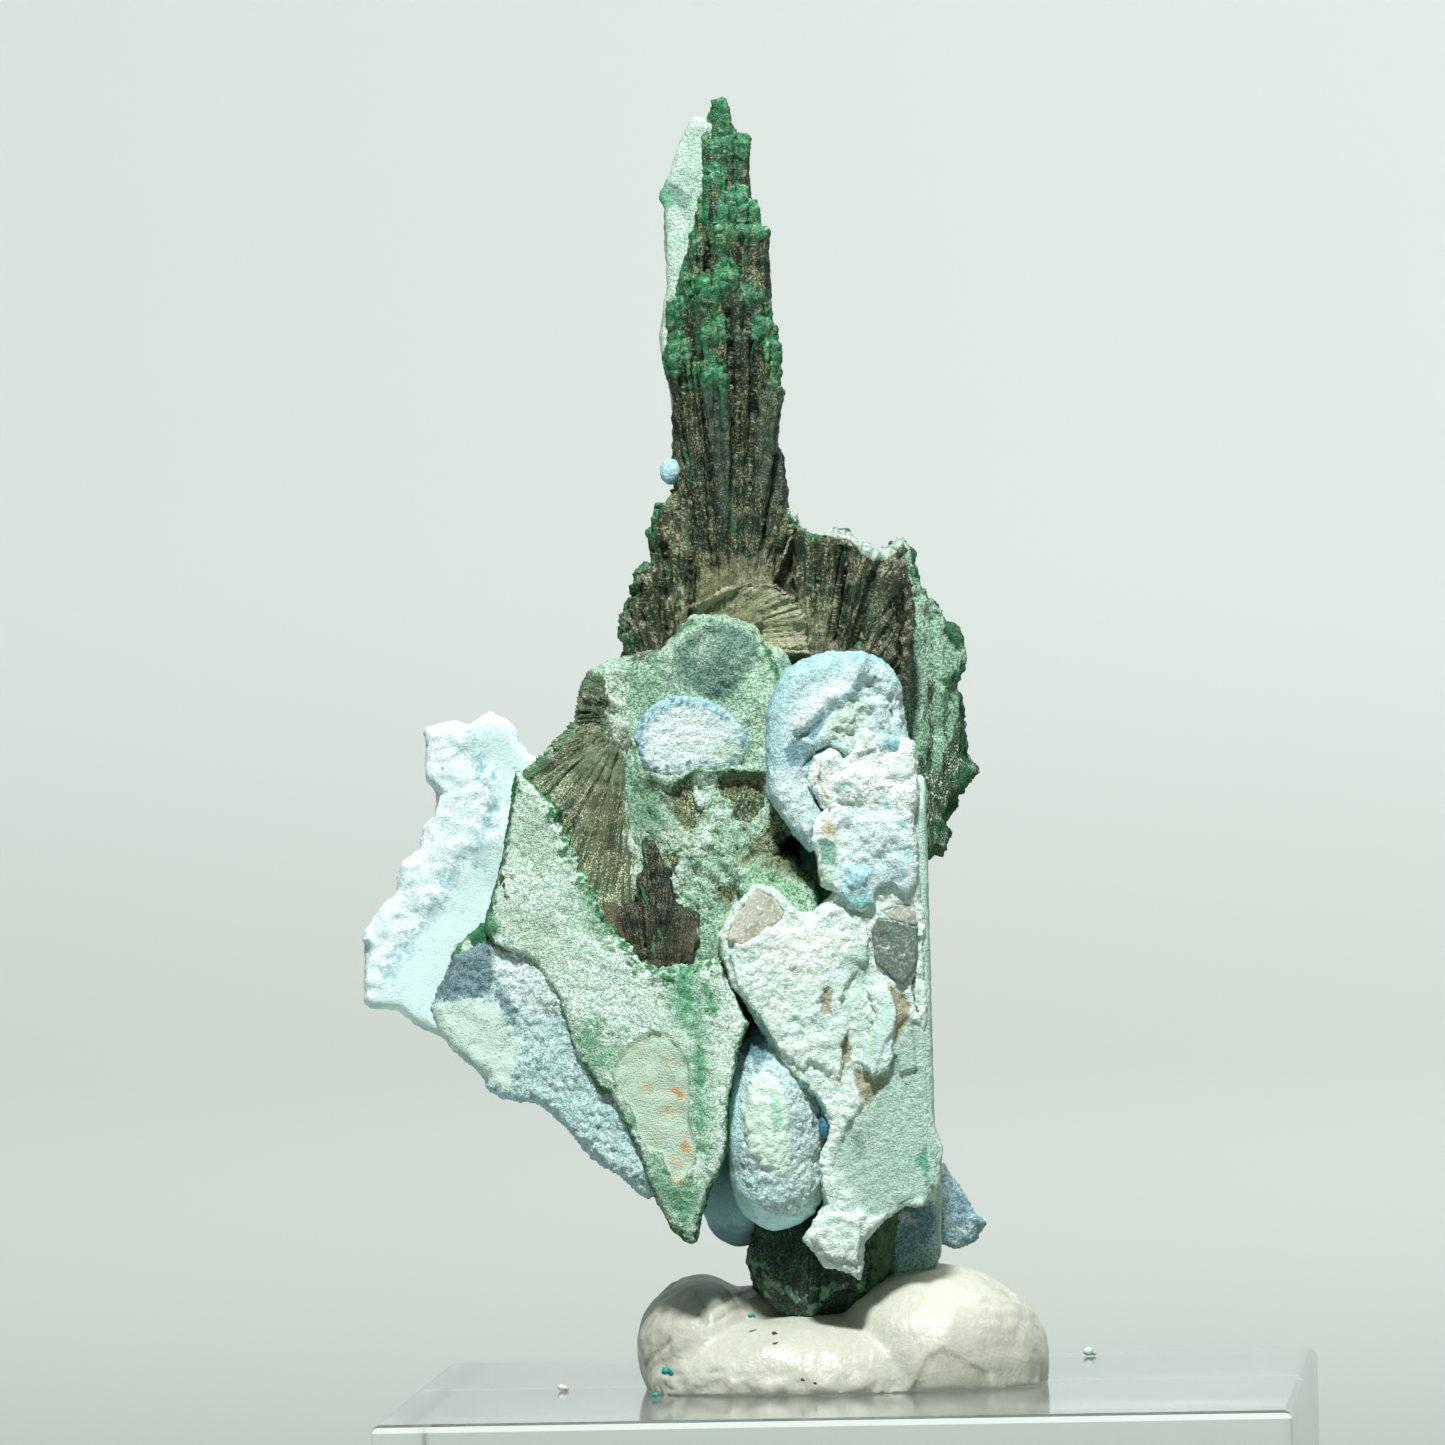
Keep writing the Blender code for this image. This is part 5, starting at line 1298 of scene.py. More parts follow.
def make_spike():
    """The tall spike of stepped pillars."""
    rng = random.Random(3)
    forms = bmesh.new()
    slab(forms, SPIKE_SHAFT, 0.8, 2.8, lean=(0.0, 0.08), about=(-7.0, 50.0))
    for left, right, top, front, dome, green, run in SPIKE_COLUMNS:
        cluster(forms, rng, SPIKE_ROOT, left, right, top, front, dome)
    skin, points = fuse(forms, 0.1)
    strand = skin.lay_strands((-7.1, 2.0, 18.0), 90.0)
    green = np.zeros(len(points))
    for left, right, top, front, dome, strength, run in SPIKE_COLUMNS:
        across = (points[:, 0] - left) / (right - left)
        drop = top - dome * (2 * np.clip(across, 0, 1) - 1) ** 2 - points[:, 2]
        covers = ease(0.5 - np.abs(across - 0.5), -0.2, 0.1) * (drop > -0.6) * (points[:, 1] > front - 0.4)
        covers *= points[:, 1] < front + 1.6
        green = np.maximum(green, covers * strength * np.exp(-np.maximum(drop - 0.4, 0) / (1.5 * run)))
    grooves = beside_any(points, SPIKE_GROOVES)
    groove = near(grooves, 0.16) * facing(skin.normals())
    rib = cloud(strand * (0.55, 0.55, 0.06), 1.0, 3)
    fine = cloud(strand * (2.4, 2.4, 0.25), 1.0, 3, shift=2.0)
    druse = (pebbles(points, 0.22) * 0.08 + cloud(points, 0.3, 3, shift=3.0) * 0.08) * ease(green, 0.3, 0.6)
    low = ease(62.0 - points[:, 2], 0.0, 6.0)
    skin.push(rib * (0.2 + 0.16 * low) + fine * 0.07 + cloud(points, 0.5, 3, shift=4.0) * 0.1 + druse
              - groove * 0.45)
    flank = ease(-skin.normals()[:, 0], 0.5, 0.9) * ease(points[:, 2], 55.0, 60.0) * 0.6
    mottle = cloud(points, 0.8, 4, shift=9.0) * 0.14 + cloud(strand * (1.5, 1.5, 0.12), 1.0, 2,
                                                             shift=8.0) * 0.26
    skin.paint("green", np.maximum(green * 0.95, flank) + mottle)
    skin.paint("sparkle", green * 0.4 - 0.12 + cloud(points, 0.22, 3, shift=6.0) * 0.5)
    patches = lay_patches(skin, SPIKE_PATCHES) + [("green", (42, 140, 88), 1.4, 0.2)]
    patches.append(("sparkle", (150, 220, 178), 0.6, 0.12))
    show("spike", skin,
         fibrous("spike_fibres", DEEP_GREEN, BRONZE, GOLD, patches=patches, brown=BROWN_DARK, glints=0.65))


def make_spike_flank():
    """The pale, flat flank behind the spike's left edge."""
    forms = bmesh.new()
    slab(forms, SPIKE_BACK, 2.3, 2.9, lean=(-0.3, 0.0), about=(-9.0, 60.0))
    skin, points = fuse(forms, 0.18)
    skin.push(cloud(points, 1.6, 4) * 0.14 + pebbles(points, 0.4) * 0.06)
    smear = 0.5 + (0.45 - beside(points, [(-10.8, 67.9), (-10.2, 67.5), (-9.8, 67.2)])) / 1.2
    skin.paint("smear", smear)
    skin.paint("tip", 0.5 + (0.6 - beside(points, [(-11.3, 67.6), (-11.0, 67.2)])) / 1.2)
    patches = [("smear", MOSS, 0.5), ("tip", LEAF_GREEN, 0.5)]
    show("spike_flank", skin, sugary("pale_flank", PALE_GREEN, MOSS, second=SOFT_GREEN, patches=patches))


def make_fan():
    """The upper fan: a shallow bowl of fibres in several sprays."""
    rng = random.Random(11)
    forms = bmesh.new()
    slab(forms, FAN_OUTLINE, 1.4, 2.6)
    for root, rim, count, back, radius in FAN_SPRAYS:
        spray(forms, rng, root, rim, count, radius, (back - 0.4, back + 0.2), start=0.1, short=0.05,
              swell=8.0 * (radius - 0.06))
        spray(forms, rng, root, rim, count // 2, 1.7 * radius, (0.2, 2.4), start=0.2, short=0.03,
              swell=3.6 * (radius - 0.06))
    skin, points = fuse(forms, 0.1)
    zones = [([(x, z) for x, z in rim] + [(root[0], root[2])], root) for root, rim, *rest in FAN_SPRAYS]
    strand = skin.lay_strands(FAN_ROOT, 20.0, zones)
    grooves = beside_any(points, FAN_GROOVES)
    groove = near(grooves, 0.2) * facing(skin.normals())
    rib = cloud(strand * (0.5, 0.5, 0.08), 1.0, 3)
    fine = cloud(strand * (2.2, 2.2, 0.30), 1.0, 3, shift=2.0)
    calm = 1 - 0.85 * ease(inside(points, FAN_MINT_PATCH), -0.3, 0.1)
    centre = ease(inside(points, traces(FAN_PATCHES[0][1])[0]), -0.6, 0.8)
    skin.push(calm * (rib * (0.45 - 0.38 * centre) + fine * 0.11 + cloud(points, 1.6, 4, shift=3.0) * 0.2)
              - groove * 0.7)
    ragged = cloud(points, 0.7, 3, shift=7.0)
    edge = 0.5 + (0.14 - inside(points, FAN_RIM_OUTLINE)) / 0.9 + ragged * 0.12
    patch = ease(cloud(strand * (1.3, 1.3, 0.3), 1.0, 3, shift=5.0), 0.1, 0.7) * 0.56
    skin.paint("green", np.maximum(edge, patch))
    patches = lay_patches(skin, FAN_PATCHES, uneven=0.2)
    patches.insert(2, ("green", VIVID_GREEN, 0.7))
    show("upper_fan", skin, fibrous("fan_fibres", (24, 36, 25), (64, 78, 54), (172, 170, 138),
                                    patches=patches, brown=(74, 80, 56), glints=0.7))


def make_lobe():
    """The drusy green lobe behind the fan on the right, streaked from top to bottom."""
    forms = bmesh.new()
    slab(forms, LOBE_OUTLINE, 4.6, 3.6, lean=(0.3, 0.0), about=(3.0, 38.0))
    for centre, radii in LOBE_LUMPS:
        lump(forms, centre, radii)
    skin, points = fuse(forms, 0.14)
    drawn = points * (1.6, 1.6, 0.5)
    skin.push(cloud(drawn, 1.3, 4) * 0.45 + (flakes(drawn, 1.2, 3, shift=4.0) - 0.5) * 0.5)
    skin.lay_strands((3.0, 7.0, 20.0), 40.0)
    streaks = cloud(points * (1.8, 1.8, 0.35), 1.0, 3, shift=11.0)
    skin.paint("fibres", 0.5 + (streaks - 0.1) * 0.9 + (38.0 - points[:, 2]) / 12.0)
    skin.paint("pale", 0.5 + (4.0 - points[:, 0]) / 3.0 + (points[:, 2] - 40.0) / 8.0 - streaks * 0.4)
    skin.paint("edge", 0.5 + (0.1 - inside(points, LOBE_OUTLINE)) / 1.4
               + cloud(points, 1.6, 3, shift=2.0) * 0.9)
    patches = [("pale", (186, 214, 196), 0.9, 0.3), ("edge", (48, 104, 72), 1.8, 0.15)]
    patches += lay_patches(skin, LOBE_PATCHES)
    finish = sugary("green_druse", (140, 178, 154), (96, 150, 118), second=(170, 204, 180), gap_share=0.9,
                    fibres=("fibres", (60, 82, 62), (84, 112, 84), (214, 224, 204)), patches=patches,
                    flecks=((70, 116, 86), 0.5))
    show("green_lobe", skin, finish)


def make_middle():
    """The drusy green middle: its knob, its ledges and its broken, fibrous facets."""
    forms = bmesh.new()
    slab(forms, MIDDLE_OUTLINE, -3.4, 4.6, edge=0.6)
    slab(forms, MIDDLE_LEDGE, -6.7, 4.0, lean=(0.1, 0.34), about=(-4.6, 28.0), edge=0.4)
    slab(forms, MIDDLE_PLANKS, -5.7, 3.0, lean=(-0.1, 0.1), about=(-5.2, 30.6), edge=0.15)
    lump(forms, KNOB_CENTRE, KNOB_RADII)
    skin, points = fuse(forms, 0.105)
    front = facing(skin.normals())
    facets = inside_any(points, FIBRE_FACETS)
    ahead = ease(-4.2 - points[:, 1], 0.0, 0.6)
    hole = ease(inside(points, DARK_HOLE), -0.2, 0.5) * (1 - ahead)
    ledge = beside(points, OVAL_LEDGE)
    broken = ease(inside(points, BROKEN_PATCH), -0.3, 0.6) * (1 - ahead)
    slope = np.clip(34.6 - points[:, 2], 0, 3) * 0.25 * broken
    white = np.zeros(len(points))
    for (x, y, z), (across, deep, up), turn in PALE_FACETS:
        dx, dz = points[:, 0] - x, points[:, 2] - z
        turned = (dx * math.cos(turn) - dz * math.sin(turn), dx * math.sin(turn) + dz * math.cos(turn))
        white = np.maximum(white, 0.5 + (1.05 - np.hypot(turned[0] / across, turned[1] / up)) * 0.8)
    points[:, 1] += front * (
        ease(facets, -0.12, 0.2) * 0.15 + hole * 1.2 + broken * 0.55 - slope
        - near(ledge, 0.3) * 0.3 - ease(white, 0.4, 0.6) * 0.12
    )
    skin.move(points)
    strand = skin.lay_strands((-7.4, -2.0, 25.0), 18.0)
    tilted = np.stack([points[:, 0] + points[:, 2] * 0.5, points[:, 1], points[:, 2] - points[:, 0] * 0.5],
                      axis=1)
    chips = flakes(tilted * (1.6, 1.2, 0.7), 1.0, 3)
    ribs = cloud(strand * (1.2, 1.2, 0.2), 1.0, 3) * 0.14
    skin.push(cloud(points, 1.8, 3) * 0.2 + cloud(tilted * (1.0, 1.0, 0.6), 0.45, 3, shift=5.0) * 0.12
              + pebbles(points, 0.3) * 0.05
              + (flakes(tilted * (2.2, 1.6, 0.9), 1.0, 2, shift=6.0) - 0.5) * 0.13
              + np.maximum(broken, ahead) * ((chips - 0.5) * 0.4 + ribs))
    fibres = np.maximum(0.5 + facets / 0.6, 0.4 + broken * cloud(points, 0.9, 3, shift=15.0) * 0.45)
    skin.paint("fibres", fibres)
    skin.paint("white", white)
    patches = lay_patches(skin, MIDDLE_PATCHES, uneven=0.2) + [("white", (226, 238, 230), 0.9, 0.1)]
    finish = sugary("green_middle", (214, 234, 218), (96, 152, 120), second=(180, 212, 190), gap_share=0.8,
                    fibres=("fibres", (54, 70, 46), (104, 114, 78), (210, 214, 178)), patches=patches,
                    flecks=((84, 136, 100), 0.5), depth=0.11)
    show("green_middle", skin, finish)


def make_oval():
    """The oval of chrysocolla set in the green middle."""
    forms = bmesh.new()
    slab(forms, OVAL_OUTLINE, -3.7, 2.0, lean=(0.0, -0.04), about=(-9.4, 36.8), edge=0.3)
    skin, points = fuse(forms, 0.1)
    skin.push(cloud(points, 1.4, 3) * 0.1 + pebbles(points, 0.3) * 0.06 + cloud(points, 0.4, 3) * 0.06)
    depth = inside(points, OVAL_OUTLINE)
    skin.paint("rim", 0.5 + (0.32 - depth) / 1.2 + (points[:, 2] - 37.0) * 0.08
               - (points[:, 0] + 9.4) * 0.04
               + cloud(points, 0.7, 2) * 0.2)
    skin.paint("mint", 0.5 + (1.3 - np.hypot(points[:, 0] + 6.9, points[:, 2] - 35.4)) / 2.0)
    skin.paint("dots", 0.2 + (0.5 - np.abs(depth - 0.3)) / 2.0 + cloud(points, 0.28, 3, shift=5.0) * 0.5)
    patches = [("rim", (170, 210, 218), 1.2, 0.3), ("mint", (200, 226, 206), 0.9, 0.3),
               ("dots", (118, 152, 164), 0.8, 0.12)]
    show("oval", skin,
         sugary("oval_crust", (236, 248, 242), (160, 194, 194), patches=patches, gap_share=0.7))


def make_left_fan():
    """The fan of golden fibres behind the plate's edge, spread from its upper right."""
    rng = random.Random(21)
    forms = bmesh.new()
    slab(forms, LEFT_FAN_OUTLINE, -2.4, 4.0, lean=(-0.12, 0.0), about=(-15.0, 32.0))
    spray(forms, rng, LEFT_FAN_ROOT, LEFT_FAN_RIM, 190, 0.19, (-3.5, -3.0), start=0.1, short=0.02,
          swell=0.6)
    spray(forms, rng, LEFT_FAN_ROOT, LEFT_FAN_RIM, 60, 0.34, (-2.8, -0.5), start=0.2)
    skin, points = fuse(forms, 0.1)
    strand = skin.lay_strands(LEFT_FAN_ROOT, 22.0)
    fine = cloud(strand * (2.2, 2.2, 0.30), 1.0, 3, shift=2.0)
    skin.push(cloud(strand * (0.8, 0.8, 0.1), 1.0, 3) * 0.22 + fine * 0.13
              + cloud(points, 0.8, 4, shift=3.0) * 0.1)
    patches = lay_patches(skin, LEFT_FAN_PATCHES, uneven=0.2)
    finish = fibrous("left_fan_fibres", (42, 66, 44), (120, 148, 106), (224, 232, 200), fineness=1.2,
                     patches=patches, brown=(106, 118, 82), glints=0.95, depth=0.08)
    show("left_fan", skin, finish)


def make_dark_blades():
    """The wedge of dark blades below the left fan."""
    rng = random.Random(23)
    forms = bmesh.new()
    slab(forms, BLADE_OUTLINE, -3.9, 2.8, edge=0.2)
    for x, top, front, radius in DARK_BLADES:
        for _ in range(9):
            shift = rng.uniform(-radius, radius)
            tip = (x + shift, front + rng.uniform(0.0, 0.5), top - rng.uniform(0.0, 0.5))
            column(forms, Vector(BLADE_ROOT).lerp(Vector(tip), 0.1), tip, 0.16, 0.07, roll=rng.random())
    skin, points = fuse(forms, 0.09)
    strand = skin.lay_strands(BLADE_ROOT, 24.0)
    skin.push(cloud(strand * (0.9, 0.9, 0.16), 1.0, 3) * 0.16 + cloud(points, 0.7, 3) * 0.1)
    patches = lay_patches(skin, BLADE_PATCHES, uneven=0.2)
    show("dark_blades", skin, fibrous("dark_blades", (10, 22, 16), (34, 48, 36), (150, 148, 112),
                                      patches=patches, glints=0.6, fineness=1.4))


def make_plate():
    """The pale green plate in front on the left, with its cream window."""
    forms = bmesh.new()
    slab(forms, PLATE_OUTLINE, -5.6, 4.2, lean=(-0.24, 0.06), about=(-13.0, 25.0), edge=0.35)
    slab(forms, PLATE_TIP, -1.6, 2.4, edge=0.2)
    skin, points = fuse(forms, 0.1)
    front = facing(skin.normals())
    window = inside(points, CREAM_WINDOW)
    tilted = np.stack([points[:, 0] - points[:, 2] * 0.5, points[:, 1], points[:, 2] + points[:, 0] * 0.5],
                      axis=1)
    grains = pebbles(points, 0.22) * 0.07 + cloud(tilted * (0.6, 1.0, 1.2), 0.4, 4, shift=3.0) * 0.09
    torn = ease(0.7 - beside(points, PLATE_TOP_EDGE), -0.3, 0.5) * cloud(points, 0.6, 3, shift=8.0) * 0.35
    sunk = ease(window, -0.05, 0.12) * front
    skin.push(cloud(points, 2.6, 3) * 0.2 + grains * (1 - 0.9 * sunk) + torn
              + sunk * (0.13 * flakes(points, 1.0, 3, shift=5.0) - 0.18))
    patches = lay_patches(skin, PLATE_PATCHES, uneven=0.25)
    finish = sugary("plate_druse", (240, 251, 243), (112, 164, 136), second=(218, 240, 226), depth=0.1,
                    gap_share=0.75, patches=patches, plain=("cream", "glint"),
                    flecks=((104, 152, 122), 0.4),
                    size=0.11)
    show("green_plate", skin, finish)


def make_crust():
    """The granular crust at the lower left."""
    forms = bmesh.new()
    slab(forms, CRUST_OUTLINE, -4.3, 7.4, lean=(-0.24, 0.05), about=(-17.0, 20.0), edge=0.5)
    skin, points = fuse(forms, 0.1)
    flat = ease(inside(points, CRUST_MINT), -0.2, 0.3)
    skin.push(cloud(points, 1.8, 3) * 0.22
              + (1 - 0.7 * flat) * (pebbles(points, 0.34) * 0.16 + cloud(points, 0.5, 3) * 0.1)
              + flat * 0.1 - 0.06)
    patches = lay_patches(skin, CRUST_PATCHES, uneven=0.2)
    finish = sugary("blue_crust", (206, 230, 226), (100, 144, 144), gap_share=0.65, size=0.12,
                    second=(184, 216, 212), patches=patches, plain=("skin", "mint"),
                    flecks=((70, 112, 120), 0.85))
    show("lower_crust", skin, finish)


def make_wing():
    """The wing of chrysocolla at the far left, smooth with a lumpy rim."""
    forms = bmesh.new()
    slab(forms, WING_OUTLINE, 5.8, 3.0, lean=(-0.08, 0.0), about=(-22.0, 28.0), edge=0.5)
    for (x, y, z), (across, deep, up) in WING_LUMPS:
        lump(forms, (x, 7.2, z), (across * 0.95, 1.1, up * 0.95))
    skin, points = fuse(forms, 0.13, smooth=4)
    band = np.maximum(inside(points, WING_BAND), inside(points, WING_CORNER))
    rough = 1 - ease(band, -0.4, 0.4) * facing(skin.normals())
    skin.push(rough * (cloud(points, 1.5, 3) * 0.14 + pebbles(points, 0.4) * 0.05
                       + cloud(points, 0.5, 3) * 0.06
                       + (flakes(points, 1.4, 3, shift=3.0) - 0.5) * 0.07)
                       + cloud(points, 3.0, 2, shift=5.0) * 0.15)
    patches = lay_patches(skin, WING_PATCHES, uneven=0.16)
    show("wing", skin, sugary("wing_crust", (238, 249, 245), (176, 204, 208), second=(220, 239, 238),
                              gap_share=0.4, depth=0.04, patches=patches, plain=("smooth",),
                              flecks=((188, 216, 222), 0.3)))


def make_blue_knob():
    """The blue knob in front, with a white face, a ridge, a trough and a rough right half."""
    forms = bmesh.new()
    slab(forms, KNOB_EDGE, -8.2, 6.6, lean=(0.0, 0.06), about=(-1.0, 36.0), edge=1.1)
    lump(forms, (-1.4, -4.8, 37.2), (3.6, 3.7, 4.3))
    skin, points = fuse(forms, 0.1)
    front = facing(skin.normals())
    ridge = near(beside(points, KNOB_RIDGE), 0.35)
    trough = near(beside(points, KNOB_TROUGH), 0.35)
    crack = near(beside(points, KNOB_SHADOW_LINE), 0.14)
    face = ease(inside(points, KNOB_FACE), -0.2, 0.3)
    rough = ease(inside(points, KNOB_ROUGH), -0.2, 0.4)
    skin.push(front * (ridge * 0.4 - trough * 0.45 - crack * 0.4 + face * 0.12)
              + rough * (cloud(points, 0.9, 4, shift=2.0) * 0.3 + (flakes(points, 0.8, 3) - 0.5) * 0.3
                         - 0.2)
              + cloud(points, 1.6, 3) * 0.12 + pebbles(points, 0.28) * 0.05
              + cloud(points, 0.5, 3, shift=4.0) * 0.08)
    patches = lay_patches(skin, KNOB_PATCHES, uneven=0.2)
    finish = sugary("knob_skin", (214, 235, 232), (154, 188, 190), second=(194, 223, 222), gap_share=0.7,
                    patches=patches, flecks=((148, 176, 184), 0.45))
    show("blue_knob", skin, finish)


def make_mint_slab():
    """The mint slab in front on the right: broken layers round windows of quartz."""
    forms = bmesh.new()
    slab(forms, SLAB_OUTLINE, -7.5, 4.7, lean=(0.0, -0.03), about=(0.0, 22.0), edge=0.3)
    for index, outline in enumerate(CRUST_SHEETS):
        slab(forms, outline, -7.75 - 0.04 * index, 1.4, lean=(0.02, -0.03), about=(0.0, 22.0), edge=0.15)
    slab(forms, PETAL_OUTLINE, -7.95, 1.2, lean=(-0.12, -0.03), about=(1.0, 20.0), edge=0.2)
    skin, points = fuse(forms, 0.095)
    front = facing(skin.normals())
    smooth = np.maximum(ease(inside(points, SMOOTH_SLAB), -0.2, 0.2),
                        ease(inside(points, PETAL_OUTLINE), -0.1, 0.1))
    grains = inside_any(points, [BEIGE_GRAIN, GREY_FACET, PALE_BIT])
    windows = inside_any(points, BROWN_WINDOWS)
    rough = 1 - 0.85 * smooth
    layers = (flakes(points, 3.0, 4, shift=2.0) - 0.5) * 0.22 + (flakes(points, 1.1, 3, shift=6.0)
                                                                 - 0.5) * 0.11
    layers += (flakes(points, 0.5, 3, shift=9.0) - 0.5) * 0.08
    relief = rough * (layers + cloud(points, 0.6, 4, shift=4.0) * 0.09)
    relief += pebbles(points, 0.3) * 0.05 + cloud(points, 0.35, 3, shift=8.0) * 0.05
    relief -= front * (ease(grains, -0.05, 0.2) * 0.3 + ease(windows, -0.15, 0.2) * 0.16
                       + ease(inside(points, SMOOTH_SLAB), -0.1, 0.1) * 0.2)
    skin.push(relief)
    patches = lay_patches(skin, SLAB_PATCHES, uneven=0.2)
    finish = sugary("mint_layers", (238, 249, 241), (176, 206, 194), gap_share=0.7, second=(218, 237, 228),
                    patches=patches, plain=("petal",), flecks=((164, 198, 184), 0.3))
    show("mint_slab", skin, finish)


def make_upper_crust():
    """The crumbly crust above the mint slab."""
    forms = bmesh.new()
    slab(forms, UPPER_CRUST_OUTLINE, -8.3, 4.7, edge=0.35)
    for (x, y, z), radii in UPPER_CRUST_LUMPS:
        lump(forms, (x, y + 0.5, z), radii)
    skin, points = fuse(forms, 0.09)
    relief = (flakes(points, 1.8, 4, shift=7.0) - 0.5) * 0.26 + (flakes(points, 0.6, 3, shift=3.0)
                                                                 - 0.5) * 0.14
    skin.push(relief + cloud(points, 0.6, 4, shift=1.0) * 0.12 + pebbles(points, 0.26) * 0.05)
    patches = lay_patches(skin, UPPER_PATCHES, uneven=0.25)
    finish = sugary("upper_crust", (244, 251, 242), (170, 202, 196), second=(232, 244, 237),
                    gap_share=0.6, patches=patches)
    show("upper_crust", skin, finish)


def make_side_plate():
    """The flat plate that runs back along the slab's right side, and the thin strip below it."""
    forms = bmesh.new()
    side_slab(forms, SIDE_PLATE_OUTLINE, 4.25, 0.9, lean=-0.026)
    slab(forms, [(4.1, 11.4), (4.75, 11.4), (4.7, 7.3), (4.35, 7.0)], -1.4, 3.6, edge=0.1)
    skin, points = fuse(forms, 0.15)
    skin.push(cloud(points, 2.0, 3) * 0.08 + pebbles(points, 0.5) * 0.04)
    show("side_plate", skin, sugary("side_plate", (200, 226, 215), MINT_PIT, gap_share=0.6,
                                    second=(186, 213, 202)))


def make_quartz():
    """Grains of quartz in the slab: beige, smoky and pinkish grey."""
    grains = [
        ("beige_grain", BEIGE_GRAIN, (178, 183, 165), (158, 154, 130), (198, 205, 189)),
        ("grey_facet", GREY_FACET, (92, 112, 102), (98, 106, 90), (132, 150, 140)),
        ("pale_bit", PALE_BIT, (168, 172, 165), (150, 148, 134), (194, 200, 193)),
    ]
    for index, (name, outline, body, brown, frosted) in enumerate(grains):
        finish, tree, shader = new_finish(name, 0.35)
        place = surface(tree)
        frost = speckle(tree, place, 6.0 / MM, 4.0)
        base = blend(tree, ramp(tree, speckle(tree, place, 0.7 / MM, 5.0, 0.6), 0.48, 0.62), body, brown)
        base = blend(tree, ramp(tree, frost, 0.52, 0.6), base, frosted)
        tree.links.new(base, shader.inputs["Base Color"])
        emboss(tree, shader, frost, 0.03)
        forms = bmesh.new()
        slab(forms, outline, -7.75, 1.6, lean=(0.05 * (-1) ** index, 0.05), about=outline[0], edge=0.1)
        skin, points = fuse(forms, 0.08)
        skin.push((flakes(points, 1.6, 2, shift=index) - 0.5) * 0.15
                  + cloud(points, 0.6, 3, shift=index) * 0.05)
        show(name, skin, finish)


def make_bottom_lobe():
    """The blue lobe at the bottom with its mint patch, the smooth one behind it and a crystal beside it."""
    forms = bmesh.new()
    for centre, radii in BOTTOM_LUMPS:
        lump(forms, centre, radii)
    skin, points = fuse(forms, 0.105)
    mint = inside(points, traces(BOTTOM_PATCHES[3][1])[0])
    smooth = ease(0.9 - beside(points, traces(BOTTOM_PATCHES[2][1])[0]), -0.2, 0.2)
    skin.push(cloud(points, 1.5, 3) * 0.12
              + (1 - smooth) * (pebbles(points, 0.3) * 0.09 + cloud(points, 0.5, 4) * 0.1)
              + ease(mint, -0.1, 0.3) * 0.18)
    patches = lay_patches(skin, BOTTOM_PATCHES, uneven=0.16)
    finish = sugary("lobe_crust", (200, 230, 227), (130, 172, 172), second=(220, 240, 236), gap_share=0.65,
                    patches=patches, plain=("skin", "mint"), flecks=((104, 144, 150), 0.55), size=0.16)
    show("bottom_lobe", skin, finish)
    forms = bmesh.new()
    for centre, radii in LOW_LUMPS:
        lump(forms, centre, radii)
    skin, points = fuse(forms, 0.17)
    skin.push(cloud(points, 1.6, 3) * 0.1)
    skin.paint("dark", 0.5 + (9.0 - points[:, 2]) / 1.2 + cloud(points, 0.6, 3) * 0.2)
    show("low_lobe", skin,
         sugary("smooth_blue", (146, 192, 200), (160, 192, 198), gap_share=0.3, depth=0.03,
                                  patches=[("dark", (112, 148, 156), 1.0, 0.2)]))
    forms = bmesh.new()
    lump(forms, (-1.85, -6.6, 14.7), (0.36, 0.4, 0.72), detail=2)
    skin = Skin(forms, 0.07)
    skin.push((flakes(skin.points(), 0.6, 2) - 0.5) * 0.12)
    show("blue_crystal", skin, sugary("blue_crystal", (66, 128, 156), (120, 150, 160), roughness=0.3))


def make_right_foot():
    """The blue piece at the lower right, darker and granular inside."""
    forms = bmesh.new()
    slab(forms, RIGHT_FOOT_OUTLINE, 2.4, 4.6, lean=(0.3, 0.0), about=(4.0, 10.0), edge=0.5)
    slab(forms, RIGHT_FOOT_INNER, -1.5, 4.4, lean=(-0.12, 0.04), about=(3.0, 9.0), edge=0.35)
    skin, points = fuse(forms, 0.12)
    skin.push(cloud(points, 1.0, 3) * 0.18 + pebbles(points, 0.34) * 0.14 - 0.06)
    skin.paint("inner", 0.5 + (4.3 - points[:, 0]) / 1.6 + cloud(points, 0.8, 3, shift=3.0) * 0.2)
    skin.paint("tip", 0.5 + (points[:, 0] - 6.1) / 1.6 + cloud(points, 0.8, 3, shift=5.0) * 0.3)
    skin.paint("green", 0.2 + (8.4 - points[:, 2]) / 4.0 + cloud(points, 0.7, 3, shift=7.0) * 0.5)
    skin.paint("pale", 0.3 + cloud(points, 1.3, 4, shift=9.0) * 0.9)
    patches = [("tip", (108, 160, 172), 1.0, 0.4), ("inner", (136, 172, 182), 0.9),
               ("pale", (214, 232, 228), 1.6, 0.2), ("green", (170, 212, 192), 1.0, 0.2)]
    show("right_foot", skin, sugary("foot_crust", (164, 202, 210), (128, 154, 160), second=(190, 216, 220),
                                    gap_share=0.75, patches=patches, flecks=((104, 140, 152), 0.5)))


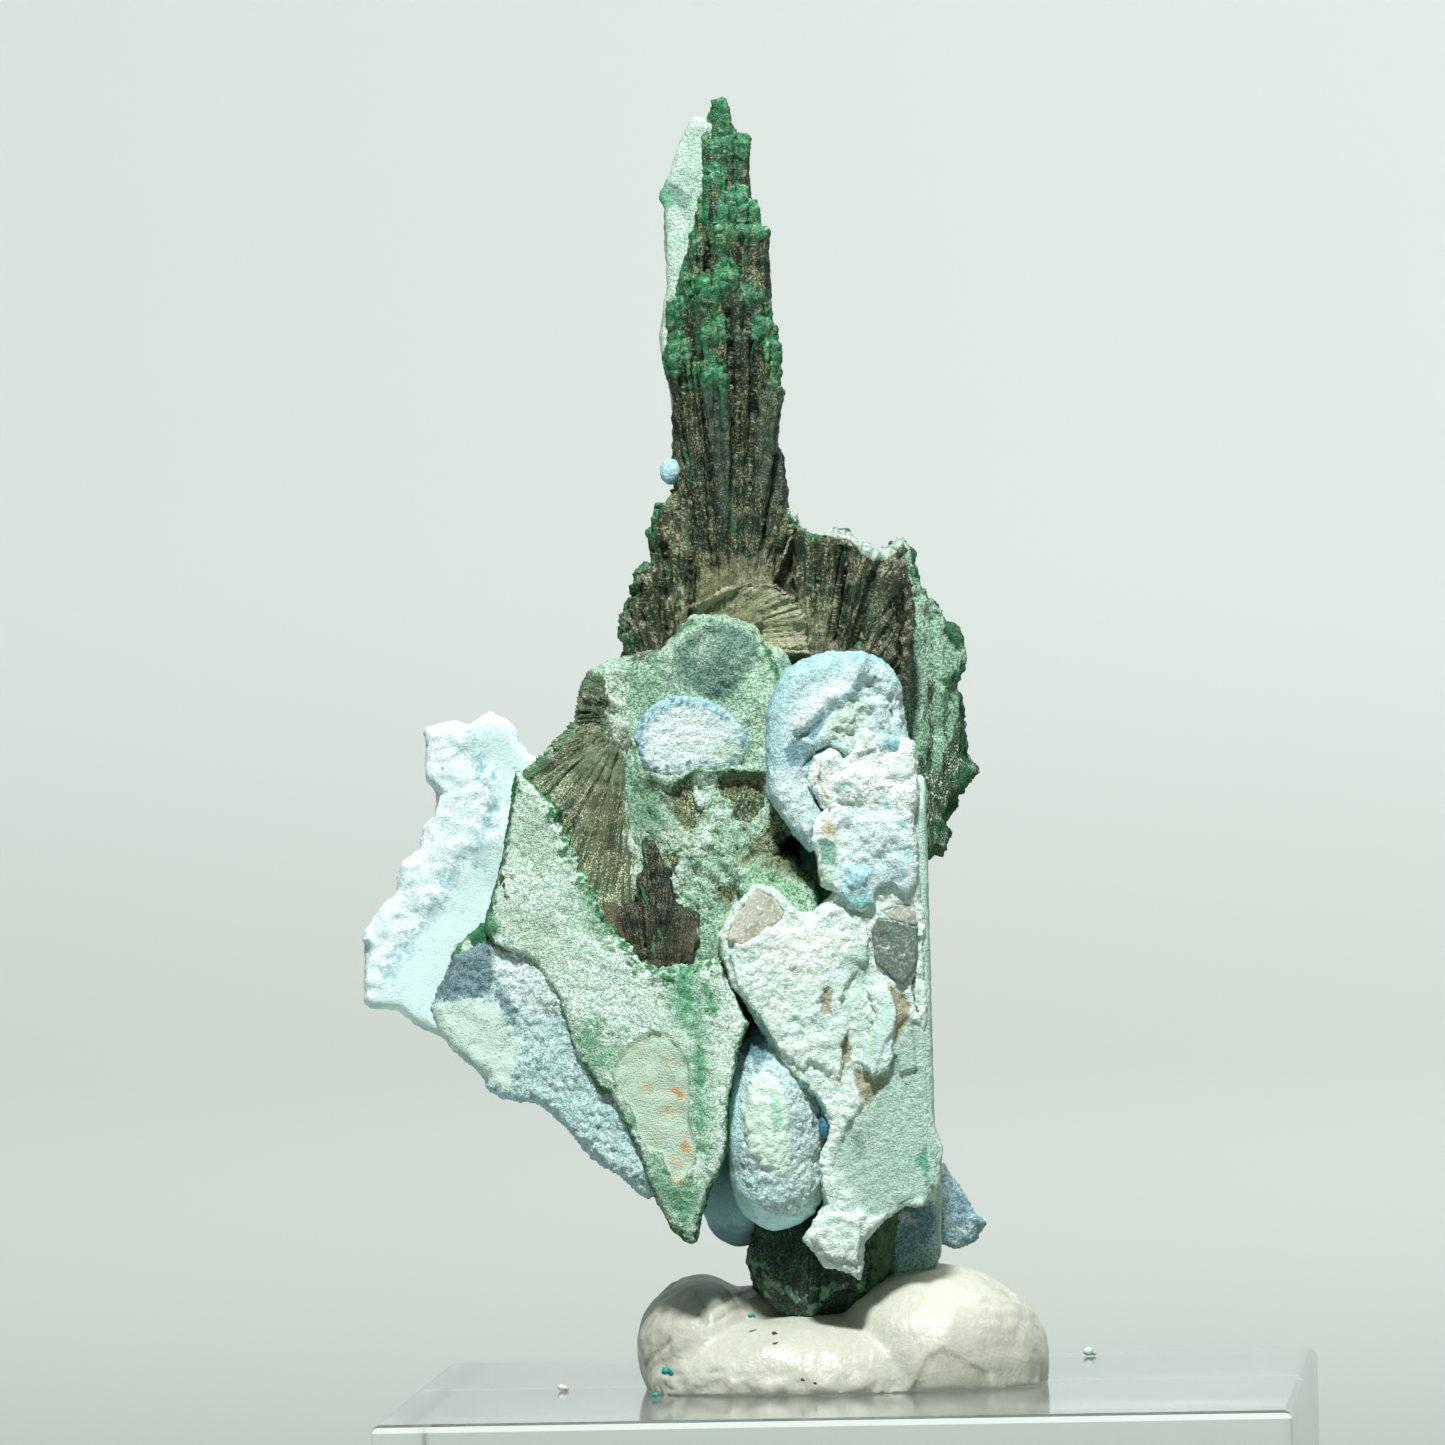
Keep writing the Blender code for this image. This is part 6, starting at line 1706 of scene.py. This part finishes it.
def make_stem():
    """The short stem of green fibres that ends in the tack."""
    forms = bmesh.new()
    slab(forms, STEM_OUTLINE, -3.3, 6.6, lean=(0.05, 0.03), about=(-2.0, 7.0), edge=0.3)
    skin, points = fuse(forms, 0.1)
    ridge = np.array(STEM_RIDGE)
    below = np.clip(np.interp(points[:, 0], ridge[:, 0], ridge[:, 1]) - points[:, 2], 0, 3)
    aside = np.clip(points[:, 0] - 0.2, 0, 3) * 0.7 + np.clip(-4.4 - points[:, 0], 0, 3) * 0.5
    points[:, 1] += np.clip((0.6 - points[:, 1]) / 3.9, 0, 1) * (below * 0.8 + aside)
    skin.move(points)
    strand = skin.lay_strands((-2.2, 0.0, 24.0), 40.0)
    druse = ease(points[:, 0], -0.2, 1.4)
    skin.push(cloud(strand * (0.8, 0.8, 0.1), 1.0, 3) * 0.16
              + cloud(strand * (2.4, 2.4, 0.2), 1.0, 2) * 0.06
              + (flakes(points * (1.0, 1.0, 0.7), 1.9, 3) - 0.5) * 0.3
              + cloud(points, 0.4, 3) * (0.04 + 0.14 * druse))
    ragged = cloud(points, 0.8, 4, shift=2.0)
    skin.paint("druse", 0.5 + (points[:, 0] - 0.6) / 2.0 + ragged * 0.5)
    dusty = np.minimum(beside(points, STEM_RIDGE[1:5]), beside(points, STEM_DUST) + 0.15)
    skin.paint("moss", 0.4 + (0.35 - dusty) / 1.2 + ragged * 0.6)
    finish = fibrous("stem_fibres", (8, 22, 15), (20, 54, 36), (84, 150, 108), glints=0.6,
                     patches=[("druse", (98, 142, 98), 2.0, 0.1), ("moss", (140, 182, 156), 2.0, 0.12)])
    show("stem", skin, finish)


def make_back():
    """The back: druse over a core, a broken plate and sprays of columns."""
    rng = random.Random(31)
    forms = bmesh.new()
    for centre, radii in CORE_LUMPS + BACK_LUMPS:
        lump(forms, centre, radii)
    skin, points = fuse(forms, 0.2)
    skin.push(cloud(points, 2.0, 3) * 0.35 + pebbles(points, 0.8) * 0.2 - 0.2)
    skin.paint("green", 0.5 + cloud(points, 5.0, 2, shift=1.0) * 0.7)
    skin.paint("blue", 0.5 + (cloud(points, 6.0, 2, shift=5.0) - 0.1) * 0.8)
    patches = [("green", LEAF_GREEN, 0.8), ("blue", SKY, 0.6)]
    show("back_druse", skin,
         sugary("back_druse", SOFT_GREEN, LEAF_PIT, size=0.3, second=MOSS, patches=patches))

    forms = bmesh.new()
    slab(forms, BACK_PLATE_OUTLINE, 6.4, 2.2, lean=(-0.12, 0.04), about=(0.0, 20.0), edge=0.4)
    skin, points = fuse(forms, 0.18)
    skin.push((flakes(points, 2.4, 3, shift=3.0) - 0.5) * 0.5 + pebbles(points, 0.5) * 0.1)
    show("back_plate", skin, sugary("back_plate", MINT, MINT_PIT, size=0.26, second=PALE_BLUE))

    for name, fibres, root, rim, count, depths in BACK_SPRAYS:
        forms = bmesh.new()
        spray(forms, rng, root, rim, count, 0.6, depths, start=0.2)
        skin = Skin(forms, 0.16)
        strand = skin.lay_strands(root, 14.0)
        skin.push(cloud(strand * (0.8, 0.8, 0.2), 1.0, 3) * 0.14)
        show(name, skin, fibrous(fibres, DARK_GREEN, VIVID_GREEN, PALE_GREEN, glints=0.4))


def make_blue_bead():
    """The small blue bead on the spike's left edge."""
    forms = bmesh.new()
    lump(forms, (-10.56, 1.6, 51.8), (0.62, 0.6, 0.75))
    skin = Skin(forms, 0.09)
    skin.push(cloud(skin.points(), 0.6, 3) * 0.06)
    show("blue_bead", skin, sugary("bead_crust", SKY, TEAL_BLUE, size=0.16))


def make_tack():
    """The pad of white tack, pressed flat below and dented by fingers."""
    forms = bmesh.new()
    for centre, radii in TACK_LUMPS:
        lump(forms, centre, radii)
    skin, points = fuse(forms, 0.16, smooth=22)
    front = facing(skin.normals())
    facet = ease(inside(points, TACK_FACET), -0.1, 0.2) * front
    folds = beside_any(points, traces(TACK_PATCHES[2][1]))
    low = ease(0.9 - points[:, 2], 0.0, 1.0) * (1 - facet)
    left = ease(-8.5 - points[:, 0], 0.0, 2.0)
    right = ease(points[:, 0] - 6.0, 0.0, 2.0) * ease(points[:, 2] - 2.0, 0.0, 2.0)
    creased = cloud(points * (0.5, 1.0, 1.6), 0.8, 3, shift=6.0) * right * 0.07
    skin.push(cloud(points, 3.4, 3) * 0.16
              + cloud(points, 0.9, 4, shift=5.0) * (0.04 + 0.05 * left) * (1 - facet)
              + low * front * (cloud(points, 1.1, 4, shift=2.0) * 0.16 + 0.1) + creased
              - front * near(folds, 0.16) * 0.1 - 0.1 * facet)
    patches = lay_patches(skin, TACK_PATCHES, uneven=0.05)
    finish, tree, shader = new_finish("white_tack", 0.42)
    place = surface(tree)
    inputs = {"Vector": place, "Rotation": (0.0, 0.9, 0.0), "Scale": (1.0, 0.3, 0.12)}
    lines = speckle(tree, node(tree, "ShaderNodeMapping", inputs).outputs["Vector"], 3.2 / MM, 2.0)
    soft = speckle(tree, place, 0.35 / MM, 6.0)
    fine = speckle(tree, place, 4.0 / MM, 3.0)
    base = blend(tree, ramp(tree, soft, 0.35, 0.65), TACK_WHITE, (182, 186, 171))
    for attribute, tint, wobble, *blur in patches:
        base = blend(tree, patch_mask(tree, attribute, wobble, *blur), base, tint)
    base = blend(tree, times(tree, ramp(tree, fine, 0.5, 0.7), 0.12), base, WHITE)
    tree.links.new(base, shader.inputs["Base Color"])
    height = plus(tree, plus(tree, times(tree, lines, 0.2), soft), times(tree, fine, 0.25))
    emboss(tree, shader, height, 0.18)
    show("tack_pad", skin, finish, stands_for=TACK, floor=BLOCK_TOP + 0.03)


def make_crumbs():
    """Loose crumbs of the mineral on the tack and the block, and a few short fibres."""
    finishes = {}
    for kind, roughness, tint in CRUMB_FINISHES:
        finishes[kind], tree, shader = new_finish(kind + "_crumb", roughness)
        shader.inputs["Base Color"].default_value = colour(*tint)
    for name, kind, slot, place, radius in CRUMBS:
        forms = bmesh.new()
        lump(forms, place, (radius, radius * 0.8, radius * 0.8))
        lump(forms, Vector(place) + Vector((radius, 0.1, -radius * 0.3)),
             (radius * 0.6, radius * 0.5, radius * 0.5))
        skin = Skin(forms, radius * 0.25)
        skin.push((flakes(skin.points(), radius * 1.5, 2, shift=radius) - 0.5) * radius * 0.5)
        show(name, skin, finishes[kind], stands_for=None)


def finish_block():
    """Clear acrylic for the block."""
    finish, tree, shader = new_finish("clear_acrylic", 0.09)
    shader.inputs["Base Color"].default_value = (0.97, 0.99, 0.98, 1.0)
    shader.inputs["Metallic"].default_value = 0.0
    shader.inputs["Transmission Weight"].default_value = 1.0
    shader.inputs["IOR"].default_value = 1.49
    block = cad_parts[BLOCK]
    block.data.materials.clear()
    block.data.materials.append(finish)


# Stage

# Each lamp's place, aim, size and power; the key's cone; the fill
KEY_LAMP = ((-0.015, -0.435, 0.71), (-0.008, 0.0, 0.05), 0.045, 39.5)
KEY_CONE = math.radians(20)
BACKDROP_LAMP = ((0.25, 0.35, 1.1), (0.1, 1.5, 0.45), 0.8, 20.8)
FILL_COLOUR = (0.93, 0.98, 0.96, 1.0)
FILL_STRENGTH = 0.165
# The heights between which the paper turns paler: below them the floor is painted darker, as painted shade
PAPER_LOW = -0.02
PAPER_HIGH = 0.06
# The lens, in pixels of a picture so many wide, and the camera's place in mm
SENSOR_WIDTH = 36.0
SIGHT_LENGTH = 15000
PICTURE_WIDTH = 1445
CAMERA_PLACE = (50.2, -847.3, 58.5 + BLOCK_TOP)


def make_stage():
    """A floor that curves up into a backdrop, its paper painted darker on the floor, as shade, than up the
    backdrop.
    """
    depth, height, width, bend = 0.9, 1.6, 3.0, 0.6
    profile = [(-1.2, 0.0), (depth, 0.0)]
    steps = 16
    for step in range(1, steps + 1):
        angle = math.radians(90) * step / steps
        profile.append((depth + bend * math.sin(angle), bend * (1 - math.cos(angle))))
    profile.append((depth + bend, height))
    sheet = bmesh.new()
    rows = []
    for y, z in profile:
        rows.append([sheet.verts.new((x, y, z - 0.0002)) for x in (-width, width)])
    for low, high in zip(rows, rows[1:]):
        sheet.faces.new((low[0], low[1], high[1], high[0]))
    mesh = bpy.data.meshes.new("backdrop")
    sheet.to_mesh(mesh)
    sheet.free()
    mesh.shade_smooth()
    backdrop = bpy.data.objects.new("backdrop", mesh)
    bpy.context.scene.collection.objects.link(backdrop)
    paper, tree, shader = new_finish("backdrop_paper", 0.9)
    height = node(tree, "ShaderNodeSeparateXYZ", {0: surface(tree)}).outputs["Z"]
    inputs = {"Value": height, "From Min": PAPER_LOW, "From Max": PAPER_HIGH}
    rise = node(tree, "ShaderNodeMapRange", inputs, interpolation_type="SMOOTHSTEP").outputs["Result"]
    # painted shade: the paper is darker on the floor and paler up the backdrop
    base = blend(tree, rise, (188, 196, 189), (205, 212, 208))
    tree.links.new(base, shader.inputs["Base Color"])
    mesh.materials.append(paper)


def add_light(name, kind, place, aim, size, power, spread=None):
    """A lamp at a place, aimed at a point."""
    light = bpy.data.lights.new(name, kind)
    light.energy = power
    if kind == "AREA":
        light.shape = "DISK"
        light.size = size
    else:
        light.shadow_soft_size = size
        light.spot_size = spread
        light.spot_blend = 0.3
    lamp = bpy.data.objects.new(name, light)
    lamp.location = place
    lamp.rotation_euler = (Vector(aim) - Vector(place)).to_track_quat("-Z", "Y").to_euler()
    bpy.context.scene.collection.objects.link(lamp)


def make_lights():
    """A key from above and in front, a lamp for the backdrop and soft fill all round."""
    add_light("key", "SPOT", *KEY_LAMP, spread=KEY_CONE)
    add_light("backdrop_lamp", "AREA", *BACKDROP_LAMP)
    world = bpy.data.worlds.new("studio")
    world.use_nodes = True
    background = world.node_tree.nodes["Background"]
    background.inputs["Color"].default_value = FILL_COLOUR
    background.inputs["Strength"].default_value = FILL_STRENGTH
    bpy.context.scene.world = world


def make_camera():
    """The photograph's view: a long lens, a little to the right and above."""
    data = bpy.data.cameras.new("camera")
    data.sensor_width = SENSOR_WIDTH
    data.lens = SIGHT_LENGTH / PICTURE_WIDTH * SENSOR_WIDTH
    camera = bpy.data.objects.new("camera", data)
    across = SPECIMEN_TURN.col[0]
    away = SPECIMEN_TURN.col[1]
    up = SPECIMEN_TURN.col[2]
    camera.matrix_world = Matrix((across, up, -away)).transposed().to_4x4()
    camera.location = Vector(CAMERA_PLACE) * MM
    bpy.context.scene.collection.objects.link(camera)
    bpy.context.scene.camera = camera
    bpy.context.scene.view_settings.view_transform = "Standard"


for make in (
    make_spike, make_spike_flank, make_fan, make_lobe, make_middle, make_oval, make_left_fan,
    make_dark_blades, make_plate, make_crust, make_wing, make_blue_knob, make_mint_slab,
    make_upper_crust, make_side_plate, make_quartz, make_bottom_lobe, make_right_foot, make_stem,
    make_back, make_blue_bead, make_tack, make_crumbs, finish_block, make_stage, make_lights,
    make_camera,
):
    make()
